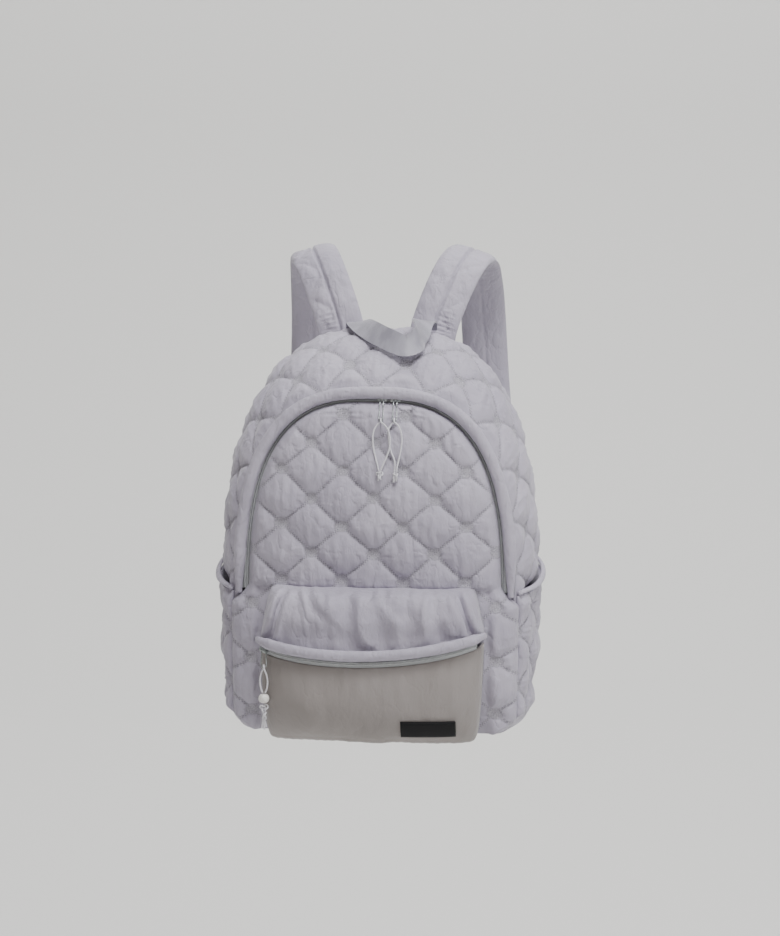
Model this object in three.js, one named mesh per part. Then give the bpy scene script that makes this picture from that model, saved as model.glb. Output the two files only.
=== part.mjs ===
// Quilted puffer backpack, worn form. Millimetres, +Z up, the pocket side faces -Y.
// The outer face of the back panel lies in the plane Y = 0, and the shoulder straps are behind it.
import * as THREE from "three";

// Body
const BODY_HEIGHT = 446; // foot to the crown of the back seam, on the seams of the quilting
const BODY_HALF = 175; // half width on the seams, without the pillows
const BODY_DEPTH = 128; // gusset, from the back seam to the zip seam
const WIDEST_Z = 144; // below this the sides run nearly straight
const CORNER_RADIUS = 20;
const FOOT_TAPER = 0.012;
const ARCH_POWER = 2.75; // 2 would be an ellipse
const BACK_THICK = 10;
const WALL = 7; // wadded cloth
const QUILT_PITCH = 66; // diamond, corner to corner
const FRONT_PITCH_X = 68.6; // the front panel's diamonds are drawn wide
const FRONT_PITCH_Z = 61;
const QUILT_PUFF = 6;
const STITCH_STEP = QUILT_PITCH / 4;
const DOME_BULGE = 24;
const GAP = 0.3;

// Main zip and the puffed flap over it
const TAPE_WIDTH = 22;
const TAPE_THICK = 1.2;
const COIL_WIDTH = 5;
const COIL_HEIGHT = 2.2;
const COIL_INSET = 12.5; // from the zip seam to the middle of the coil
const ZIP_END_Z = 174;
const BAND_WIDTH = 13;
const BAND_DEEP = 11;
const BAND_OVERLAP = 4; // how far the flap reaches over the zip seam
const ZIP_STEPS = 34;
const SLIDER_SPACING = 15;
const SLIDERS_X = 15; // the closed sliders meet right of the middle
const WIRE = 1.3;
const PULL_WIDTH = 5.2;
const CORD = 1.9;
const CORD_SIDES = 8;
const MAIN_CORD_STEPS = 32;
const POCKET_CORD_STEPS = 22;

// Front pocket
const POCKET_HALF = 125;
const POCKET_TOP_Z = 171;
const POCKET_FOOT_Z = -3;
const POCKET_DEPTH = 46;
const POCKET_WALL = 3;
const POCKET_CORNER_POWER = 3.6;
const POCKET_ZIP_Z = 93;
const POCKET_ZIP_SAG = 16;
const POCKET_ZIP_TILT = 5; // the right end hangs higher than the left
const POCKET_TAPE = 9;
const POCKET_BAND = 12;
const POCKET_FOLD = 3.2;
const LABEL_WIDTH = 60;
const LABEL_HEIGHT = 18;
const LABEL_THICK = 1.2;
const LABEL_X = 65;
const LABEL_Z = 19;

// Side pockets
const SIDE_MOUTH_BACK_Z = 188;
const SIDE_MOUTH_FRONT_Z = 158;
const SIDE_FOOT_Z = 28;
const SIDE_WALL = 4;
const SIDE_ROOM = 10;
const SIDE_PRESS = 13; // how far the body is pressed in behind a side pocket
const EDGE_WIDTH = 9;
const EDGE_THICK = 2.4;

// Carrying
const STRAP_WIDTH = 54;
const STRAP_STEPS = 20;
const HANDLE_STEPS = 22;
const STRAP_THICK = 14;
const WEBBING_WIDTH = 25;
const WEBBING_THICK = 1.8;
const STRAP_REACH = 185; // how far the straps' loops stand out behind the back panel
const HANDLE_SPAN = 92;
const HANDLE_REACH = 112;
const HANDLE_RISE = 20;
const ANCHOR_SIZE = 42;
const ANCHOR_THICK = 4;

const FABRIC = new THREE.MeshStandardMaterial({ color: "#b0aeba", roughness: 0.62, metalness: 0 });
const WEBBING = new THREE.MeshStandardMaterial({ color: "#9a9ca8", roughness: 0.5, metalness: 0 });
const ZIP_TAPE = new THREE.MeshStandardMaterial({ color: "#8c908f", roughness: 0.6, metalness: 0 });
const NICKEL = new THREE.MeshStandardMaterial({ color: "#a9b0b0", roughness: 0.3, metalness: 1 });
const CORD_WHITE = new THREE.MeshStandardMaterial({ color: "#e4e3e8", roughness: 0.7, metalness: 0 });
const BEAD_CREAM = new THREE.MeshStandardMaterial({ color: "#edebe8", roughness: 0.4, metalness: 0 });
const LABEL_BLACK = new THREE.MeshStandardMaterial({ color: "#1a1a1c", roughness: 0.5, metalness: 0 });
const BUCKLE = new THREE.MeshStandardMaterial({ color: "#8f919c", roughness: 0.45, metalness: 0 });

// The origin is the middle of the back panel's outer face, and the sizes below start at the foot
const pack = new THREE.Group();
pack.position.z = -BODY_HEIGHT / 2;
const vec = (x, y, z) => new THREE.Vector3(x, y, z);
const { lerp, clamp, smoothstep } = THREE.MathUtils;

// Smooth value of a table's column between its rows
function follow(table, column, at) {
  let i = 0;
  while (i < table.length - 2 && at > table[i + 1].at) i += 1;
  const a = table[i];
  const b = table[i + 1];
  const before = table[Math.max(i - 1, 0)];
  const after = table[Math.min(i + 2, table.length - 1)];
  const span = b.at - a.at;
  const t = clamp((at - a.at) / span, 0, 1);
  const slopeA = (span * (b[column] - before[column])) / (b.at - before.at);
  const slopeB = (span * (after[column] - a[column])) / (after.at - a.at);
  const h = t * t * (3 - 2 * t);
  return a[column] + h * (b[column] - a[column]) + t * (1 - t) * ((1 - t) * slopeA - t * slopeB);
}

// Places from one value to another, with each multiple of the step between them
function stops(from, to, step, phase = 0) {
  const list = [from];
  for (let k = Math.ceil((from - phase) / step); phase + k * step < to; k += 1) {
    const value = phase + k * step;
    if (value - from > step * 0.35 && to - value > step * 0.35) list.push(value);
  }
  list.push(to);
  return list;
}

// Height of the quilting's pillow over its seams
function pillow(across, along, pitchAcross = QUILT_PITCH, pitchAlong = QUILT_PITCH) {
  const first = Math.sin(Math.PI * (across / pitchAcross + along / pitchAlong));
  const second = Math.sin(Math.PI * (across / pitchAcross - along / pitchAlong));
  return QUILT_PUFF * Math.sqrt(Math.abs(first * second));
}

function addMesh(name, geometry, material, parent = pack) {
  const mesh = new THREE.Mesh(geometry, material);
  mesh.name = name;
  parent.add(mesh);
  return mesh;
}

// Closed mesh from points and triangles, turned so that its faces point out
function closedGeometry(points, triangles) {
  let volume = 0;
  for (const [a, b, c] of triangles) {
    volume += points[a].dot(vec(0, 0, 0).crossVectors(points[b], points[c]));
  }
  const order = volume < 0 ? triangles.map(([a, b, c]) => [a, c, b]) : triangles;
  const geometry = new THREE.BufferGeometry();
  geometry.setAttribute("position", new THREE.Float32BufferAttribute(points.flatMap((p) => p.toArray()), 3));
  geometry.setIndex(order.flat());
  geometry.computeVertexNormals();
  return geometry;
}

// Triangles between two rows of vertices, which may differ in count
function stitchRows(points, rowA, rowB, triangles) {
  let i = 0;
  let j = 0;
  while (i < rowA.length - 1 || j < rowB.length - 1) {
    const a = rowA[i];
    const b = rowB[j];
    const nextA = rowA[Math.min(i + 1, rowA.length - 1)];
    const nextB = rowB[Math.min(j + 1, rowB.length - 1)];
    const liftA = (points[nextA].lift ?? 0) + (points[b].lift ?? 0);
    const liftB = (points[a].lift ?? 0) + (points[nextB].lift ?? 0);
    const keyA = points[nextA].key + liftA * 0.01;
    const keyB = points[nextB].key + liftB * 0.01;
    if (j >= rowB.length - 1 || (i < rowA.length - 1 && keyA <= keyB)) {
      triangles.push([a, nextA, b]);
      i += 1;
    } else {
      triangles.push([a, nextB, b]);
      j += 1;
    }
  }
}

// Closed shell between an outer and an inner sheet of points, row by row
function shell(outer, inner) {
  const points = [];
  const number = (rows) => rows.map((row) => row.map((point) => points.push(point) - 1));
  const top = number(outer);
  const under = number(inner);
  const triangles = [];
  const below = [];
  for (let r = 0; r < top.length - 1; r += 1) {
    stitchRows(points, top[r], top[r + 1], triangles);
    stitchRows(points, under[r], under[r + 1], below);
  }
  for (const [a, b, c] of below) triangles.push([a, c, b]);
  const rim = (rows) => [
    ...rows[0],
    ...rows.slice(1, -1).map((row) => row.at(-1)),
    ...[...rows.at(-1)].reverse(),
    ...rows.slice(1, -1).map((row) => row[0]).reverse(),
  ];
  const edge = rim(top);
  const underEdge = rim(under);
  for (let k = 0; k < edge.length; k += 1) {
    const next = (k + 1) % edge.length;
    triangles.push([edge[k], underEdge[k], edge[next]]);
    triangles.push([edge[next], underEdge[k], underEdge[next]]);
  }
  return closedGeometry(points, triangles);
}

// Closed strip: a section of [width, height] pairs carried along frames of point, side and face
function strip(frames, section) {
  const points = [];
  for (const [k, frame] of frames.entries()) {
    const outline = typeof section === "function" ? section(k / (frames.length - 1)) : section;
    for (const [p, q] of outline) {
      points.push(frame.point.clone().addScaledVector(frame.side, p).addScaledVector(frame.face, q));
    }
  }
  const outline = typeof section === "function" ? section(0) : section;
  const n = outline.length;
  const triangles = [];
  for (let k = 0; k < frames.length - 1; k += 1) {
    for (let i = 0; i < n; i += 1) {
      const a = k * n + i;
      const b = k * n + ((i + 1) % n);
      triangles.push([a, b, a + n], [b, b + n, a + n]);
    }
  }
  const cap = THREE.ShapeUtils.triangulateShape(outline.map(([p, q]) => new THREE.Vector2(p, q)), []);
  const sense = THREE.ShapeUtils.isClockWise(outline.map(([p, q]) => new THREE.Vector2(p, q))) ? 1 : -1;
  const last = (frames.length - 1) * n;
  for (const [a, b, c] of cap) {
    triangles.push(sense > 0 ? [a, b, c] : [a, c, b]);
    triangles.push(sense > 0 ? [last + a, last + c, last + b] : [last + a, last + b, last + c]);
  }
  return closedGeometry(points, triangles);
}

function ellipseSection(width, height, sides) {
  const list = [];
  for (let k = 0; k < sides; k += 1) {
    const turn = (2 * Math.PI * (k + 0.5)) / sides;
    list.push([(width / 2) * Math.cos(turn), (height / 2) * Math.sin(turn)]);
  }
  return list;
}

function flatSection(width, thick) {
  return [[-width / 2, -thick / 2], [width / 2, -thick / 2], [width / 2, thick / 2], [-width / 2, thick / 2]];
}

// Frames along a smooth curve through the rows of a table, whose side leans along side(t)
function curveFrames(points, sides, steps) {
  const path = new THREE.CatmullRomCurve3(points);
  const lean = new THREE.CatmullRomCurve3(sides);
  const frames = [];
  for (let k = 0; k <= steps; k += 1) {
    const u = k / steps;
    const t = path.getUtoTmapping(u);
    const along = path.getTangent(t);
    const side = lean.getPoint(t);
    side.addScaledVector(along, -side.dot(along)).normalize();
    frames.push({ point: path.getPoint(t), side, face: vec(0, 0, 0).crossVectors(side, along) });
  }
  return frames;
}

// Body: sections of the gusset from the back seam to the zip seam, as shares of the body's sizes
const BODY_SECTIONS = [
  { at: 0.0, width: 0.955, height: 0.992 },
  { at: 0.3, width: 1.0, height: 0.985 },
  { at: 0.65, width: 0.985, height: 0.948 },
  { at: 1.0, width: 0.905, height: 0.877 },
];
const ARCH_SAMPLES = 48;
const BACK_Y = -BACK_THICK - GAP;
const SEAM_Y = BACK_Y - BODY_DEPTH;

// Arch of the body at a depth, from its left foot over the crown to its right foot
function archLine(depth) {
  const half = BODY_HALF * follow(BODY_SECTIONS, "width", depth);
  const rise = BODY_HEIGHT * follow(BODY_SECTIONS, "height", depth) - WIDEST_Z;
  const right = [];
  for (let k = 0; k <= ARCH_SAMPLES; k += 1) {
    const turn = (Math.PI / 2) * (k / ARCH_SAMPLES);
    right.push([
      half * Math.sin(turn) ** (2 / ARCH_POWER),
      WIDEST_Z + rise * Math.cos(turn) ** (2 / ARCH_POWER),
    ]);
  }
  const taper = (z) => 1 - FOOT_TAPER * ((WIDEST_Z - z) / WIDEST_Z) ** 2;
  for (let k = 1; k <= 6; k += 1) {
    const z = lerp(WIDEST_Z, CORNER_RADIUS, k / 6);
    right.push([half * taper(z), z]);
  }
  const footX = half * taper(CORNER_RADIUS) - CORNER_RADIUS;
  for (let k = 1; k <= 6; k += 1) {
    const turn = (Math.PI / 2) * (k / 6);
    right.push([footX + CORNER_RADIUS * Math.cos(turn), CORNER_RADIUS * (1 - Math.sin(turn))]);
  }
  const line = [...right.slice(1).reverse().map(([x, z]) => [-x, z]), ...right];
  const lengths = [0];
  for (let k = 1; k < line.length; k += 1) {
    lengths.push(lengths[k - 1] + Math.hypot(line[k][0] - line[k - 1][0], line[k][1] - line[k - 1][1]));
  }
  return { line, lengths, total: lengths.at(-1) };
}

const archCache = new Map();
function archAt(depth) {
  if (!archCache.has(depth)) archCache.set(depth, archLine(depth));
  return archCache.get(depth);
}

// The side pockets press the body in where they lie, and less towards the front seam
const PRESS_BELOW_MOUTH = 25;
const PRESS_ABOVE_MOUTH = 12;
const PRESS_RAMP = 60;
function pocketPress(z, depth) {
  const mouth = sideMouthZ(depth);
  const under = 1 - smoothstep(z, mouth - PRESS_BELOW_MOUTH, mouth + PRESS_ABOVE_MOUTH);
  return SIDE_PRESS * under * smoothstep(z, 0, PRESS_RAMP) * (1 - smoothstep(depth, 0.7, 1));
}

// Point on the body's seam surface; share runs along the arch, depth from back seam to zip seam
function bodyPoint(share, depth) {
  const { line, lengths, total } = archAt(depth);
  const reach = clamp(share, 0, 1) * total;
  let k = 1;
  while (k < line.length - 1 && lengths[k] < reach) k += 1;
  const t = (reach - lengths[k - 1]) / (lengths[k] - lengths[k - 1]);
  const x = lerp(line[k - 1][0], line[k][0], t);
  const z = lerp(line[k - 1][1], line[k][1], t);
  return vec(x - Math.sign(x) * pocketPress(z, depth), BACK_Y - BODY_DEPTH * depth, z);
}

function bodyNormal(share, depth) {
  if (share <= 0 || share >= 1) return vec(0, 0, -1);
  const s = clamp(share, 0.003, 0.997);
  const d = clamp(depth, 0.01, 0.99);
  const across = bodyPoint(s + 0.003, d).sub(bodyPoint(s - 0.003, d));
  const inward = bodyPoint(s, d + 0.01).sub(bodyPoint(s, d - 0.01));
  return inward.cross(across).normalize();
}

const MAIN_LENGTH = archAt(0.3).total;
const shareAt = (length) => clamp(0.5 + length / MAIN_LENGTH, 0, 1);

// Share of the arch at which its right half comes down to a height
function shareOfHeight(height, depth) {
  let low = 0.5;
  let high = 1;
  for (let k = 0; k < 24; k += 1) {
    const middle = (low + high) / 2;
    if (bodyPoint(middle, depth).z > height) low = middle;
    else high = middle;
  }
  return low;
}

// Where the side pockets lie, the body behind them is plain
const SIDE_BACK_DEPTH = 0.06;
const SIDE_FRONT_DEPTH = 0.97;
// The gusset's quilting fades in from below a mouth to above it
const QUILT_FADE_BELOW = 30;
const QUILT_FADE_ABOVE = 15;
function sideMouthZ(depth) {
  return lerp(SIDE_MOUTH_BACK_Z, SIDE_MOUTH_FRONT_Z, depth);
}

function gussetLift(length, depth) {
  const z = bodyPoint(shareAt(length), depth).z;
  const open = smoothstep(z, sideMouthZ(depth) - QUILT_FADE_BELOW, sideMouthZ(depth) + QUILT_FADE_ABOVE);
  const edge = smoothstep(Math.min(depth, 1 - depth) * BODY_DEPTH, 0, STITCH_STEP);
  return pillow(length, depth * BODY_DEPTH) * open * edge;
}

function makeGusset() {
  const plain = MAIN_LENGTH / 2 - SIDE_FOOT_Z - SIDE_MOUTH_FRONT_Z * 0.8;
  const lengths = stops(-MAIN_LENGTH / 2, MAIN_LENGTH / 2, STITCH_STEP)
    .filter((value, k, all) => Math.abs(value) < plain || k % 2 === 0 || k === all.length - 1);
  const depths = stops(0, BODY_DEPTH, STITCH_STEP).map((value) => value / BODY_DEPTH);
  const sheet = (offset, puffed) => depths.map((depth) => lengths.map((length) => {
    const share = shareAt(length);
    const lift = puffed ? gussetLift(length, depth) : 0;
    const point = bodyPoint(share, depth).addScaledVector(bodyNormal(share, depth), offset + lift);
    if (depth === 0) point.y = BACK_Y;
    if (depth === 1) point.y = SEAM_Y;
    point.lift = lift;
    point.key = length;
    return point;
  }));
  addMesh("gusset", shell(sheet(0, true), sheet(-WALL, false)), FABRIC);
}

function makeBasePanel() {
  const columns = 6;
  const depths = stops(0, BODY_DEPTH, STITCH_STEP).map((value) => value / BODY_DEPTH);
  const sheet = (z) => depths.map((depth) => {
    const footX = bodyPoint(1, depth).x - GAP - 0.2;
    const row = [];
    for (let k = 0; k <= columns; k += 1) {
      const point = vec(lerp(-footX, footX, k / columns), BACK_Y - BODY_DEPTH * depth, z);
      point.key = k;
      row.push(point);
    }
    return row;
  });
  addMesh("base_panel", shell(sheet(0), sheet(WALL)), FABRIC);
}

function makeBackPanel() {
  const { line } = archAt(0);
  const outline = new THREE.Shape(line.filter((_, k) => k % 3 === 0).map(([x, z]) => new THREE.Vector2(x, z)));
  const bevel = 2;
  const geometry = new THREE.ExtrudeGeometry(outline, {
    depth: BACK_THICK - 2 * bevel,
    bevelSize: bevel,
    bevelThickness: bevel,
    bevelOffset: -bevel,
    bevelSegments: 1,
    curveSegments: 1,
  });
  geometry.rotateX(Math.PI / 2);
  geometry.translate(0, -bevel, 0);
  addMesh("back_panel", geometry, FABRIC);
}

// Front seam line, moved in from the edge by an inset
function frontLine(inset, count, from = 0, to = 1) {
  const list = [];
  for (let k = 0; k <= count; k += 1) {
    const share = lerp(from, to, k / count);
    const before = bodyPoint(share - 0.004, 1);
    const after = bodyPoint(share + 0.004, 1);
    const along = after.sub(before).normalize();
    const out = vec(-along.z, 0, along.x);
    const point = bodyPoint(share, 1);
    const amount = typeof inset === "function" ? inset(point.z) : inset;
    list.push({ point: point.addScaledVector(out, -amount), side: out, face: vec(0, -1, 0) });
  }
  return list;
}

// Front panel: its edge lies inside the coil above the zip's ends and reaches the seam below them
const PANEL_BACK_Y = SEAM_Y - TAPE_THICK - 2 * GAP;
const PANEL_INSET = COIL_INSET + COIL_WIDTH / 2 + 1.2;
const PANEL_EDGE_INSET = 1;
const INSET_FROM = 30; // below the zip's ends
const INSET_TO = 4;
const panelInset = (z) => {
  return lerp(PANEL_EDGE_INSET, PANEL_INSET, smoothstep(z, ZIP_END_Z - INSET_FROM, ZIP_END_Z - INSET_TO));
};
const PANEL_EDGE = frontLine(panelInset, 160, 0.5, 1).map(({ point }) => point);
const PANEL_TOP_Z = PANEL_EDGE[0].z;

function panelHalf(z) {
  let k = 1;
  while (k < PANEL_EDGE.length - 1 && PANEL_EDGE[k].z > z) k += 1;
  const drop = Math.max(PANEL_EDGE[k - 1].z - PANEL_EDGE[k].z, 1e-6);
  return Math.max(lerp(PANEL_EDGE[k - 1].x, PANEL_EDGE[k].x, clamp((PANEL_EDGE[k - 1].z - z) / drop, 0, 1)), 1);
}

const DOME_FOOT = 90;
const DOME_HEAD = 150;
function domeY(x, z) {
  const side = 1 - clamp(Math.abs(x) / panelHalf(z), 0, 1) ** 3.2;
  const low = 1 - (1 - clamp(z / DOME_FOOT, 0, 1)) ** 2.2;
  const high = 1 - (1 - clamp((PANEL_TOP_Z - z) / DOME_HEAD, 0, 1)) ** 2;
  return PANEL_BACK_Y - WALL - DOME_BULGE * side ** 0.75 * low * high;
}

// The front pocket's seam holds the quilting flat behind it
const FRONT_CROSSING_Z = 270;
function panelLift(x, z) {
  const edge = smoothstep(Math.min(panelHalf(z) - Math.abs(x), PANEL_TOP_Z - z), 0, STITCH_STEP);
  const beside = smoothstep(Math.abs(x), POCKET_HALF + 1, POCKET_HALF + 12);
  const above = smoothstep(z, POCKET_TOP_Z + 2, POCKET_TOP_Z + 14);
  return pillow(x, z - FRONT_CROSSING_Z, FRONT_PITCH_X, FRONT_PITCH_Z) * edge * Math.max(beside, above);
}

function makeFrontPanel() {
  const stepX = FRONT_PITCH_X / 4;
  const stepZ = FRONT_PITCH_Z / 4;
  const levels = stops(2, PANEL_TOP_Z - 6, stepZ, FRONT_CROSSING_Z % stepZ)
    .filter((z, k) => z > POCKET_TOP_Z - stepZ || k % 2 === 0);
  const cap = PANEL_EDGE.filter(({ z }, k) => z > levels.at(-1) + 0.5 && k % 4 === 0).map(({ x, z }) => [x, z]);
  const sheet = (outer) => {
    const place = (x, z) => {
      const lift = outer ? panelLift(x, z) : 0;
      const point = vec(x, outer ? domeY(x, z) - lift : domeY(x, z) + WALL, z);
      point.lift = lift;
      point.key = x;
      return point;
    };
    const rows = levels.map((z) => stops(-panelHalf(z), panelHalf(z), stepX).map((x) => place(x, z)));
    const crown = [...cap.slice(1).reverse().map(([x, z]) => place(-x, z)), ...cap.map(([x, z]) => place(x, z))];
    return [...rows, crown];
  };
  addMesh("front_panel", shell(sheet(true), sheet(false)), FABRIC);
}

function makeMainZip() {
  const start = 1 - shareOfHeight(ZIP_END_Z, 1);
  const frames = frontLine(COIL_INSET, ZIP_STEPS, start, 1 - start);
  for (const { point } of frames) point.y = SEAM_Y - GAP;
  const w = TAPE_WIDTH / 2;
  const c = COIL_WIDTH / 2;
  const section = [
    [-w, 0], [w, 0], [w, TAPE_THICK], [c, TAPE_THICK],
    [c, TAPE_THICK + COIL_HEIGHT], [-c, TAPE_THICK + COIL_HEIGHT], [-c, TAPE_THICK], [-w, TAPE_THICK],
  ];
  addMesh("main_zip", strip(frames, section), ZIP_TAPE);
  const bandFrames = frontLine(BAND_WIDTH / 2 - BAND_OVERLAP, ZIP_STEPS, start - 0.004, 1.004 - start);
  for (const { point } of bandFrames) point.y = SEAM_Y - TAPE_THICK - 2 * GAP - BAND_DEEP / 2;
  const band = (t) => {
    const end = Math.min(t, 1 - t) * 34;
    const size = lerp(0.55, 1, smoothstep(end, 0, 3));
    return ellipseSection(BAND_WIDTH * size, BAND_DEEP * size, 8);
  };
  addMesh("zip_band", strip(bandFrames, band), FABRIC);
}

// Front pocket: side profiles as shares of the pocket's depth, half width and the rise of each part
const POCKET_CLEAR = 1.6;
const POUCH_PROFILE = [
  { at: 0.0, out: 0.0, rise: 0.14, width: 0.86 },
  { at: 0.16, out: 0.54, rise: 0.0, width: 0.9 },
  { at: 0.34, out: 0.95, rise: 0.06, width: 0.94 },
  { at: 0.62, out: 1.08, rise: 0.4, width: 0.975 },
  { at: 1.0, out: 0.94, rise: 1.0, width: 1.0 },
];
const HOOD_PROFILE = [
  { at: 0.0, out: 0.86, rise: 0.0, width: 1.0 },
  { at: 0.25, out: 0.9, rise: 0.26, width: 1.0 },
  { at: 0.5, out: 0.98, rise: 0.6, width: 0.985 },
  { at: 0.78, out: 0.7, rise: 0.93, width: 0.94 },
  { at: 1.0, out: 0.0, rise: 1.0, width: 0.88 },
];
const pocketZipZ = (x) => {
  const share = x / POCKET_HALF;
  return POCKET_ZIP_Z + POCKET_ZIP_SAG * share ** 2 + POCKET_ZIP_TILT * share;
};
const POUCH = {
  profile: POUCH_PROFILE,
  low: () => POCKET_FOOT_Z,
  high: (x) => pocketZipZ(x) - POCKET_TAPE / 2 - GAP,
  fold: () => 0,
};
const HOOD = {
  profile: HOOD_PROFILE,
  low: (x) => pocketZipZ(x) + POCKET_TAPE / 2 + GAP,
  high: () => POCKET_TOP_Z,
  fold: hoodFold,
};

// Soft upright folds where the pocket's top is gathered, and the tuck at each upper corner
const FOLD_PITCH = 34;
const TUCK_X = 0.8;
const TUCK_HALF_WIDTH = 8;
function hoodFold(x, at) {
  const waves = Math.cos((2 * Math.PI * x) / FOLD_PITCH + 1.1) + 0.6 * Math.cos((2 * Math.PI * x) / (FOLD_PITCH * 1.7));
  const tuck = Math.exp(-(((Math.abs(x) - TUCK_X * POCKET_HALF) / TUCK_HALF_WIDTH) ** 2));
  return POCKET_FOLD * Math.sin(Math.PI * at) * (0.55 * waves - 1.7 * tuck);
}

// Point on a pocket part's outer face; across runs from -1 to 1, at follows the part's profile
function pocketPoint(part, across, at) {
  const x = across * POCKET_HALF * follow(part.profile, "width", at);
  const round = (1 - Math.abs(across) ** POCKET_CORNER_POWER) ** (1 / POCKET_CORNER_POWER);
  const out = (POCKET_DEPTH * follow(part.profile, "out", at) + part.fold(x, at)) * round;
  const z = lerp(part.low(x), part.high(x), follow(part.profile, "rise", at));
  return vec(x, domeY(x, Math.max(z, 2)) - POCKET_CLEAR - Math.max(out, 0), z);
}

function pocketNormal(part, across, at) {
  const u = clamp(across, -0.99, 0.99);
  const v = clamp(at, 0.02, 0.98);
  const right = pocketPoint(part, u + 0.008, v).sub(pocketPoint(part, u - 0.008, v));
  const up = pocketPoint(part, u, v + 0.015).sub(pocketPoint(part, u, v - 0.015));
  return right.cross(up).normalize();
}

function pocketShell(part, columns, rows) {
  const across = [...columns.slice(1).reverse().map((share) => -share), ...columns];
  const sheet = (offset) => rows.map((at) => across.map((share) => {
    const point = pocketPoint(part, share, at).addScaledVector(pocketNormal(part, share, at), offset);
    point.y = Math.min(point.y, domeY(point.x, Math.max(point.z, 2)) - POCKET_CLEAR);
    if (at === 0) point.z = Math.max(point.z, part.low(point.x));
    if (at === 1) point.z = part.high(point.x);
    if (at === 1 && part === HOOD) point.y -= 1.2;
    point.key = share;
    return point;
  }));
  return shell(sheet(0), sheet(-POCKET_WALL));
}

// Frames along the pocket's zip line, moved out from it and up along the face
function pocketLine(out, rise, columns) {
  const across = [...columns.slice(1).reverse().map((share) => -share), ...columns];
  const middle = POCKET_DEPTH * POUCH_PROFILE.at(-1).out;
  return across.map((share) => {
    const place = (s) => {
      const x = s * POCKET_HALF;
      const round = (1 - Math.min(Math.abs(s), 1) ** POCKET_CORNER_POWER) ** (1 / POCKET_CORNER_POWER);
      return vec(x, domeY(x, pocketZipZ(x)) - POCKET_CLEAR - middle * round, pocketZipZ(x));
    };
    const step = Math.min(0.01, 1 - Math.abs(share));
    const along = place(share + step).sub(place(share - step)).normalize();
    if (step === 0) along.set(0, -Math.sign(share), 0);
    const up = vec(0, 0, 1).addScaledVector(along, -along.z).normalize();
    const face = vec(0, 0, 0).crossVectors(along, up);
    const point = place(share).addScaledVector(face, out).addScaledVector(up, rise);
    return { point, side: up, face };
  });
}

const POUCH_COLUMNS = [0, 0.17, 0.34, 0.5, 0.65, 0.78, 0.88, 0.94, 0.975, 0.993, 1];
const HOOD_COLUMNS = [0, 0.1, 0.2, 0.3, 0.4, 0.5, 0.6, 0.69, 0.745, 0.8, 0.86, 0.93, 0.98, 1];
const ZIP_COLUMNS = [0, 0.17, 0.34, 0.5, 0.65, 0.78, 0.88, 0.94];
const LINE_COLUMNS = [0, 0.17, 0.34, 0.5, 0.65, 0.78, 0.88, 0.94, 0.975, 0.993];

function makePocket() {
  const pouchRows = [0, 0.09, 0.18, 0.28, 0.4, 0.56, 0.76, 1];
  addMesh("pocket_pouch", pocketShell(POUCH, POUCH_COLUMNS, pouchRows), FABRIC);
  const hoodRows = [0, 0.16, 0.32, 0.48, 0.62, 0.76, 0.89, 1];
  addMesh("pocket_top", pocketShell(HOOD, HOOD_COLUMNS, hoodRows), FABRIC);
  const w = POCKET_TAPE / 2;
  const coil = [
    [-w, 0], [w, 0], [w, TAPE_THICK], [2, TAPE_THICK], [2, TAPE_THICK + 1.8],
    [-2, TAPE_THICK + 1.8], [-2, TAPE_THICK], [-w, TAPE_THICK],
  ];
  addMesh("pocket_zip", strip(pocketLine(-1.6, 0, ZIP_COLUMNS), coil), ZIP_TAPE);
  const band = (t) => {
    const size = lerp(0.6, 1, smoothstep(Math.min(t, 1 - t), 0, 0.06));
    return ellipseSection(POCKET_BAND * size, POCKET_BAND * 0.8 * size, 8);
  };
  const bandOut = POCKET_BAND * 0.4 + GAP + 0.9;
  addMesh("pocket_band", strip(pocketLine(bandOut, POCKET_BAND / 2 + 3.5, LINE_COLUMNS), band), FABRIC);
}

// Label, a plain woven patch that lies on the pouch's lower curve
function makeLabel() {
  const faceAt = (x, z) => {
    let low = 0.18;
    let high = 0.7;
    const share = (at) => x / (POCKET_HALF * follow(POUCH_PROFILE, "width", at));
    for (let k = 0; k < 24; k += 1) {
      const middle = (low + high) / 2;
      if (pocketPoint(POUCH, share(middle), middle).z < z) low = middle;
      else high = middle;
    }
    return { across: share(low), at: low };
  };
  const sheet = (offset) => [-0.5, 0, 0.5].map((rise) => [-0.5, -0.25, 0, 0.25, 0.5].map((run) => {
    const { across, at } = faceAt(LABEL_X + run * LABEL_WIDTH, LABEL_Z + rise * LABEL_HEIGHT);
    const point = pocketPoint(POUCH, across, at).addScaledVector(pocketNormal(POUCH, across, at), offset);
    point.key = run;
    return point;
  }));
  addMesh("label_patch", shell(sheet(0.3 + LABEL_THICK), sheet(0.3)), LABEL_BLACK);
}

// Side pockets: a quilted panel over each side, open at its slanted mouth
const ROOM_RISE = 60;
function sideRoom(z, depth) {
  const share = (depth - SIDE_BACK_DEPTH) / (SIDE_FRONT_DEPTH - SIDE_BACK_DEPTH);
  const across = Math.sin(Math.PI * clamp(share, 0, 1)) ** 0.6;
  return GAP + 1 + SIDE_ROOM * across * smoothstep(z, SIDE_FOOT_Z, SIDE_FOOT_Z + ROOM_RISE);
}

function sidePoint(z, depth, lift) {
  const share = shareOfHeight(z, depth);
  return bodyPoint(share, depth).addScaledVector(bodyNormal(share, depth), lift);
}

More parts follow.
